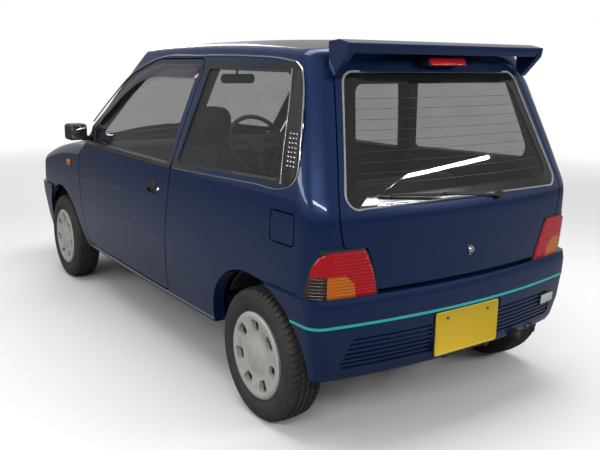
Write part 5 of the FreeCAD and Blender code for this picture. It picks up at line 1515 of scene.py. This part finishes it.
class KEI_OT_cabin(PieceOperator):
    """Headlining, trim panels, carpet and controls"""

    bl_idname = "kei.cabin"
    bl_label = "Cabin trim"

    def build(self):
        self.headlining()
        self.side_panels()
        self.carpet()
        self.controls()

    def headlining(self):
        """A sheet under the roof that follows its two curves."""
        x, y = np.meshgrid(np.linspace(-1.270, -0.080, 30), np.linspace(-0.500, 0.500, 24), indexing="ij")
        z = 1.3545 - (x + 0.6) ** 2 / 22.0 - y ** 2 / 9.2 - 0.020 * np.clip((np.abs(y) - 0.42) / 0.08, 0, 1) ** 2
        lining = plate("headlining", np.stack([x, y, z], axis=-1), 0.003, "headlining")
        finish_piece(lining, "chassis", "seat_cloth")

    def side_panels(self):
        """Trim panels inside the doors and the rear sides, with an arm rest and a window crank on the door."""
        for name, start, end, count, door in (("door_card_left", -0.440, 0.560, 30, True),
                                              ("quarter_card_left", -0.830, -0.560, 16, False)):
            x, z = np.meshgrid(np.linspace(start, end, count), np.linspace(0.340, 0.862, 16), indexing="ij")
            pair(plate(name, on_side(x, z, -0.0520), 0.0030, "dash"), "dash_plastic", door)

        def inside(x, z, height):
            return on_side(x, z, -0.054 - height)
        pair(tablet("arm_rest_left", box_corners(-0.250, 0.650, 0.110, 0.690, 0.018),
                    [(0.0, 0.0), (0.0, 0.030), (0.006, 0.040)], inside, "dash"), "dash_plastic", True)
        pair(tablet("window_crank_left", box_corners(0.090, 0.560, 0.110, 0.640, 0.008),
                    [(0.0, 0.0), (0.0, 0.018), (0.003, 0.022)], inside, "moulding"), "black_plastic", True)

    def carpet(self):
        """A sheet laid on the floor between the sills."""
        x, y = np.meshgrid(np.linspace(-0.660, 0.560, 40), np.linspace(-0.520, 0.520, 40), indexing="ij")
        down = np.stack([x.ravel(), y.ravel(), 0 * x.ravel() + 0.60], axis=1)
        z = cast("underbody", down, (0, 0, -1))[:, 2].reshape(x.shape)
        rug = plate("carpet", np.stack([x, y, z + 0.0045], axis=-1), 0.0035, "carpet")
        finish_piece(rug, "chassis", "seat_cloth")

    def controls(self):
        """Gear lever, parking brake, inner mirror, instruments, radio and air outlets."""
        boot = turned("gear_boot", [(0, 0.0), (0.055, 0.0), (0.050, 0.012), (0.034, 0.030), (0.030, 0.036),
                      (0.018, 0.060), (0.0, 0.064)], (0.330, 0, 0.292), "rubber", "Z", 40)
        stick = tube("gear_lever", [(0.330, 0, 0.34), (0.326, 0, 0.44), (0.310, 0, 0.52)], 0.006, "chrome")
        knob = turned("gear_knob", [(0, -0.022), (0.012, -0.022), (0.020, -0.006), (0.022, 0.008), (0.014, 0.020),
                      (0.0, 0.023)], (0.308, 0, 0.535), "moulding", "Z", 32)
        brake = tube("parking_brake", [(-0.100, 0, 0.300), (0.000, 0, 0.355), (0.100, 0, 0.400)], 0.011, "moulding")
        for piece in (boot, knob, brake):
            finish_piece(piece, "chassis", "black_plastic")
        finish_piece(stick, "chassis", "steel")
        fitting("cabin_mirror", box_corners(-0.100, 1.205, 0.100, 1.255, 0.020),
                [(0.0, 0.0), (0.0, 0.012), (0.006, 0.022)], on_plane(0, 0.050), "moulding", "chassis",
                "black_plastic")
        stalk = tube("cabin_mirror_stalk", [(0.066, 0, 1.240), (0.062, 0, 1.275), (0.070, 0, 1.330)], 0.006,
                     "moulding")
        finish_piece(stalk, "chassis", "black_plastic")
        place = on_node("dashboard", 0, -1)
        for name, corners, look in (
                ("instruments", box_corners(-0.430, 0.790, -0.180, 0.840, 0.015), "window_black"),
                ("air_outlet_left", box_corners(0.440, 0.775, 0.530, 0.825, 0.008), "moulding"),
                ("air_outlet_middle", box_corners(-0.080, 0.775, 0.080, 0.825, 0.008), "moulding"),
                ("radio", box_corners(-0.090, 0.690, 0.090, 0.740, 0.005), "window_black")):
            fitting(name, corners, [(0.0, -0.001), (0.0, 0.003), (0.003, 0.005)], place, look, "chassis",
                    "black_plastic")


class KEI_OT_front_fittings(PieceOperator):
    """Grille, indicators, blank plate and air intake at the front"""

    bl_idname = "kei.front_fittings"
    bl_label = "Front fittings"

    def build(self):
        nose, bumper = on_node("nose_panel", 0, 1), on_node("front_bumper", 0, 1)
        fitting("grille", box_corners(-0.300, 0.590, 0.300, 0.672, 0.014),
                [(0.0, -0.001), (0.0, 0.002), (0.003, 0.003)], nose, "moulding", "chassis", "black_plastic", 8)
        slats = [tablet("slat", box_corners(-0.285, 0.600 + 0.0165 * k, 0.285, 0.6075 + 0.0165 * k, 0.003),
                        [(0.0, 0.002), (0.0, 0.007), (0.002, 0.009)], nose, "paint", 3) for k in range(4)]
        finish_piece(join("grille_slats", slats), "chassis", "paint")
        blank = fitting("front_number_plate", box_corners(-0.165, 0.330, 0.165, 0.495, 0.010),
                        [(0.0, 0.002), (0.0, 0.0038), (0.0012, 0.0048), (0.0048, 0.0048), (0.0062, 0.0040)],
                        on_plane(0, 1.6475), "plate", "chassis", "paint", 8)
        if float(blank.data.vertices[0].co.x) > CAD_BOX[1][0] + 0.02:
            raise RuntimeError("The front plate stands out too far")
        for hand, side in (("left", 1), ("right", -1)):
            low, high = sorted((side * 0.400, side * 0.545))
            fitting("indicator_" + hand, box_corners(low, 0.470, high, 0.505, 0.008),
                    [(0.0, -0.001), (0.0, 0.003), (0.004, 0.006)], bumper, "lamp_amber", "chassis", "lamp_red")
        fitting("bumper_intake", box_corners(-0.380, 0.285, 0.380, 0.322, 0.012),
                [(0.0, -0.001), (0.0, 0.002)], bumper, "rubber", "chassis", "black_plastic")


class KEI_OT_stage(PieceOperator):
    """Pale floor and backdrop, soft lights and the camera at the photograph's angle"""

    bl_idname = "kei.stage"
    bl_label = "Stage"

    size = 60.0
    near = 3.2
    fade = 5.0

    def build(self):
        self.floor()
        self.lights()
        self.camera()
        bpy.context.scene.view_settings.view_transform = "Standard"

    def floor(self):
        """A pale floor that turns to plain white far off; to every ray but the camera's it is dark, a painted shade
        that dims its reflection in the car and the light it throws back.
        """
        f = Finish("studio_floor")
        seen = f.node("ShaderNodeLightPath", {}, {})[0]
        x, y = f.place()[:2]
        far = (((x * x + y * y) ** 0.5 - self.near) / self.fade).clamp()
        # Pale to the camera, dark to reflection and bounce rays: painted shade on the car's lower sides
        f.set(Base_Color=f.blend(seen, (0.20, 0.20, 0.21), (0.80, 0.80, 0.80)), Roughness=0.8)
        white = f.node("ShaderNodeEmission", {}, {0: (1.0, 1.0, 1.0), 1: 1.0})[0]
        mixed = f.node("ShaderNodeMixShader", {}, {0: far * seen, 1: Wire(f, f.shader.outputs[0]), 2: white})[0]
        f.tree.links.new(mixed.socket, f.output.inputs["Surface"])
        size = self.size
        obj = make_object("floor", [(-size, -size, 0), (size, -size, 0), (size, size, 0), (-size, size, 0)],
                          [(0, 1, 2, 3)], f.material)

    def lights(self):
        """Soft lamps round the car, and a world that the camera sees as white but that lights it less."""
        world = bpy.data.worlds.new("studio")
        world.use_nodes = True
        tree = world.node_tree
        background = tree.nodes["Background"]
        background.inputs[0].default_value = (1.0, 1.0, 1.0, 1.0)
        path = tree.nodes.new("ShaderNodeLightPath")
        level = tree.nodes.new("ShaderNodeMapRange")
        level.inputs["To Min"].default_value = 0.34
        level.inputs["To Max"].default_value = 1.0
        tree.links.new(path.outputs["Is Camera Ray"], level.inputs["Value"])
        tree.links.new(level.outputs[0], background.inputs[1])
        bpy.context.scene.world = world
        for name, power, width, depth, place, target in (
                ("overhead", 210.0, 6.0, 2.2, (-0.5, 0.0, 4.6), (-0.3, 0, 0.6)),
                ("left_rear", 110.0, 4.0, 0.25, (-4.6, 3.6, 3.4), (-0.8, 0, 0.7)),
                ("right_rear", 110.0, 2.6, 0.12, (-5.4, -3.4, 2.6), (-1.2, 0, 0.6)),
                ("left_side", 60.0, 4.0, 0.5, (0.5, 5.5, 2.6), (-0.2, 0, 0.6)),
                ("front", 70.0, 3.0, 2.0, (5.4, -1.5, 3.4), (0.4, 0, 0.7))):
            data = bpy.data.lights.new(name, "AREA")
            data.energy, data.shape, data.size, data.size_y = power, "RECTANGLE", width, depth
            lamp = bpy.data.objects.new(name, data)
            lamp.location = place
            lamp.rotation_euler = (Vector(target) - Vector(place)).to_track_quat("-Z", "Y").to_euler()
            lamp.visible_camera = False
            bpy.context.scene.collection.objects.link(lamp)

    def camera(self):
        """The camera's place and turn, solved from points of the car in the photograph; focal is in its pixels."""
        place = Vector((-3.417529, 1.995540, 1.322266))
        heading, dip, roll = -0.606237619, 0.218484520, 0.0113668769
        focal, width, sensor = 736.223, 600.0, 36.0
        ahead = Vector((math.cos(dip) * math.cos(heading), math.cos(dip) * math.sin(heading), -math.sin(dip)))
        right = ahead.cross(Vector((0, 0, 1))).normalized()
        up = right.cross(ahead)
        across = right * math.cos(roll) + up * math.sin(roll)
        above = up * math.cos(roll) - right * math.sin(roll)
        data = bpy.data.cameras.new("camera")
        data.sensor_width, data.lens = sensor, focal * sensor / width
        obj = bpy.data.objects.new("camera", data)
        turn = Matrix((across, above, -ahead)).transposed().to_4x4()
        obj.matrix_world = Matrix.Translation(place) @ turn
        bpy.context.scene.collection.objects.link(obj)
        bpy.context.scene.camera = obj


OPERATORS = (
    KEI_OT_body, KEI_OT_glass, KEI_OT_running_gear, KEI_OT_tyres, KEI_OT_window_surrounds, KEI_OT_tail_lamps,
    KEI_OT_rear_fittings, KEI_OT_side_fittings, KEI_OT_front_fittings, KEI_OT_seats, KEI_OT_cabin, KEI_OT_stage,
)


class KEI_PT_panel(bpy.types.Panel):
    """Lists the groups of pieces in the sidebar"""

    bl_idname = "KEI_PT_panel"
    bl_label = "Kei car"
    bl_space_type = "VIEW_3D"
    bl_region_type = "UI"
    bl_category = "Kei car"

    def draw(self, context):
        values = context.scene.kei_car
        for name in ("paint", "glass", "stripe", "edge", "tread_blocks", "tread_depth", "trim"):
            self.layout.prop(values, name)
        for operator in OPERATORS:
            self.layout.operator(operator.bl_idname)


CLASSES = (KeiCarSettings,) + OPERATORS + (KEI_PT_panel,)


def register():
    for cls in CLASSES:
        bpy.utils.register_class(cls)
    bpy.types.Scene.kei_car = PointerProperty(type=KeiCarSettings)


def unregister():
    del bpy.types.Scene.kei_car
    for cls in reversed(CLASSES):
        bpy.utils.unregister_class(cls)


def main():
    """Builds every group of pieces."""
    register()
    for operator in OPERATORS:
        group, name = operator.bl_idname.split(".")
        result = getattr(getattr(bpy.ops, group), name)()
        if result != {"FINISHED"}:
            raise RuntimeError("%s did not finish" % operator.bl_label)
    bpy.context.view_layer.update()


if __name__ == "__main__":
    main()
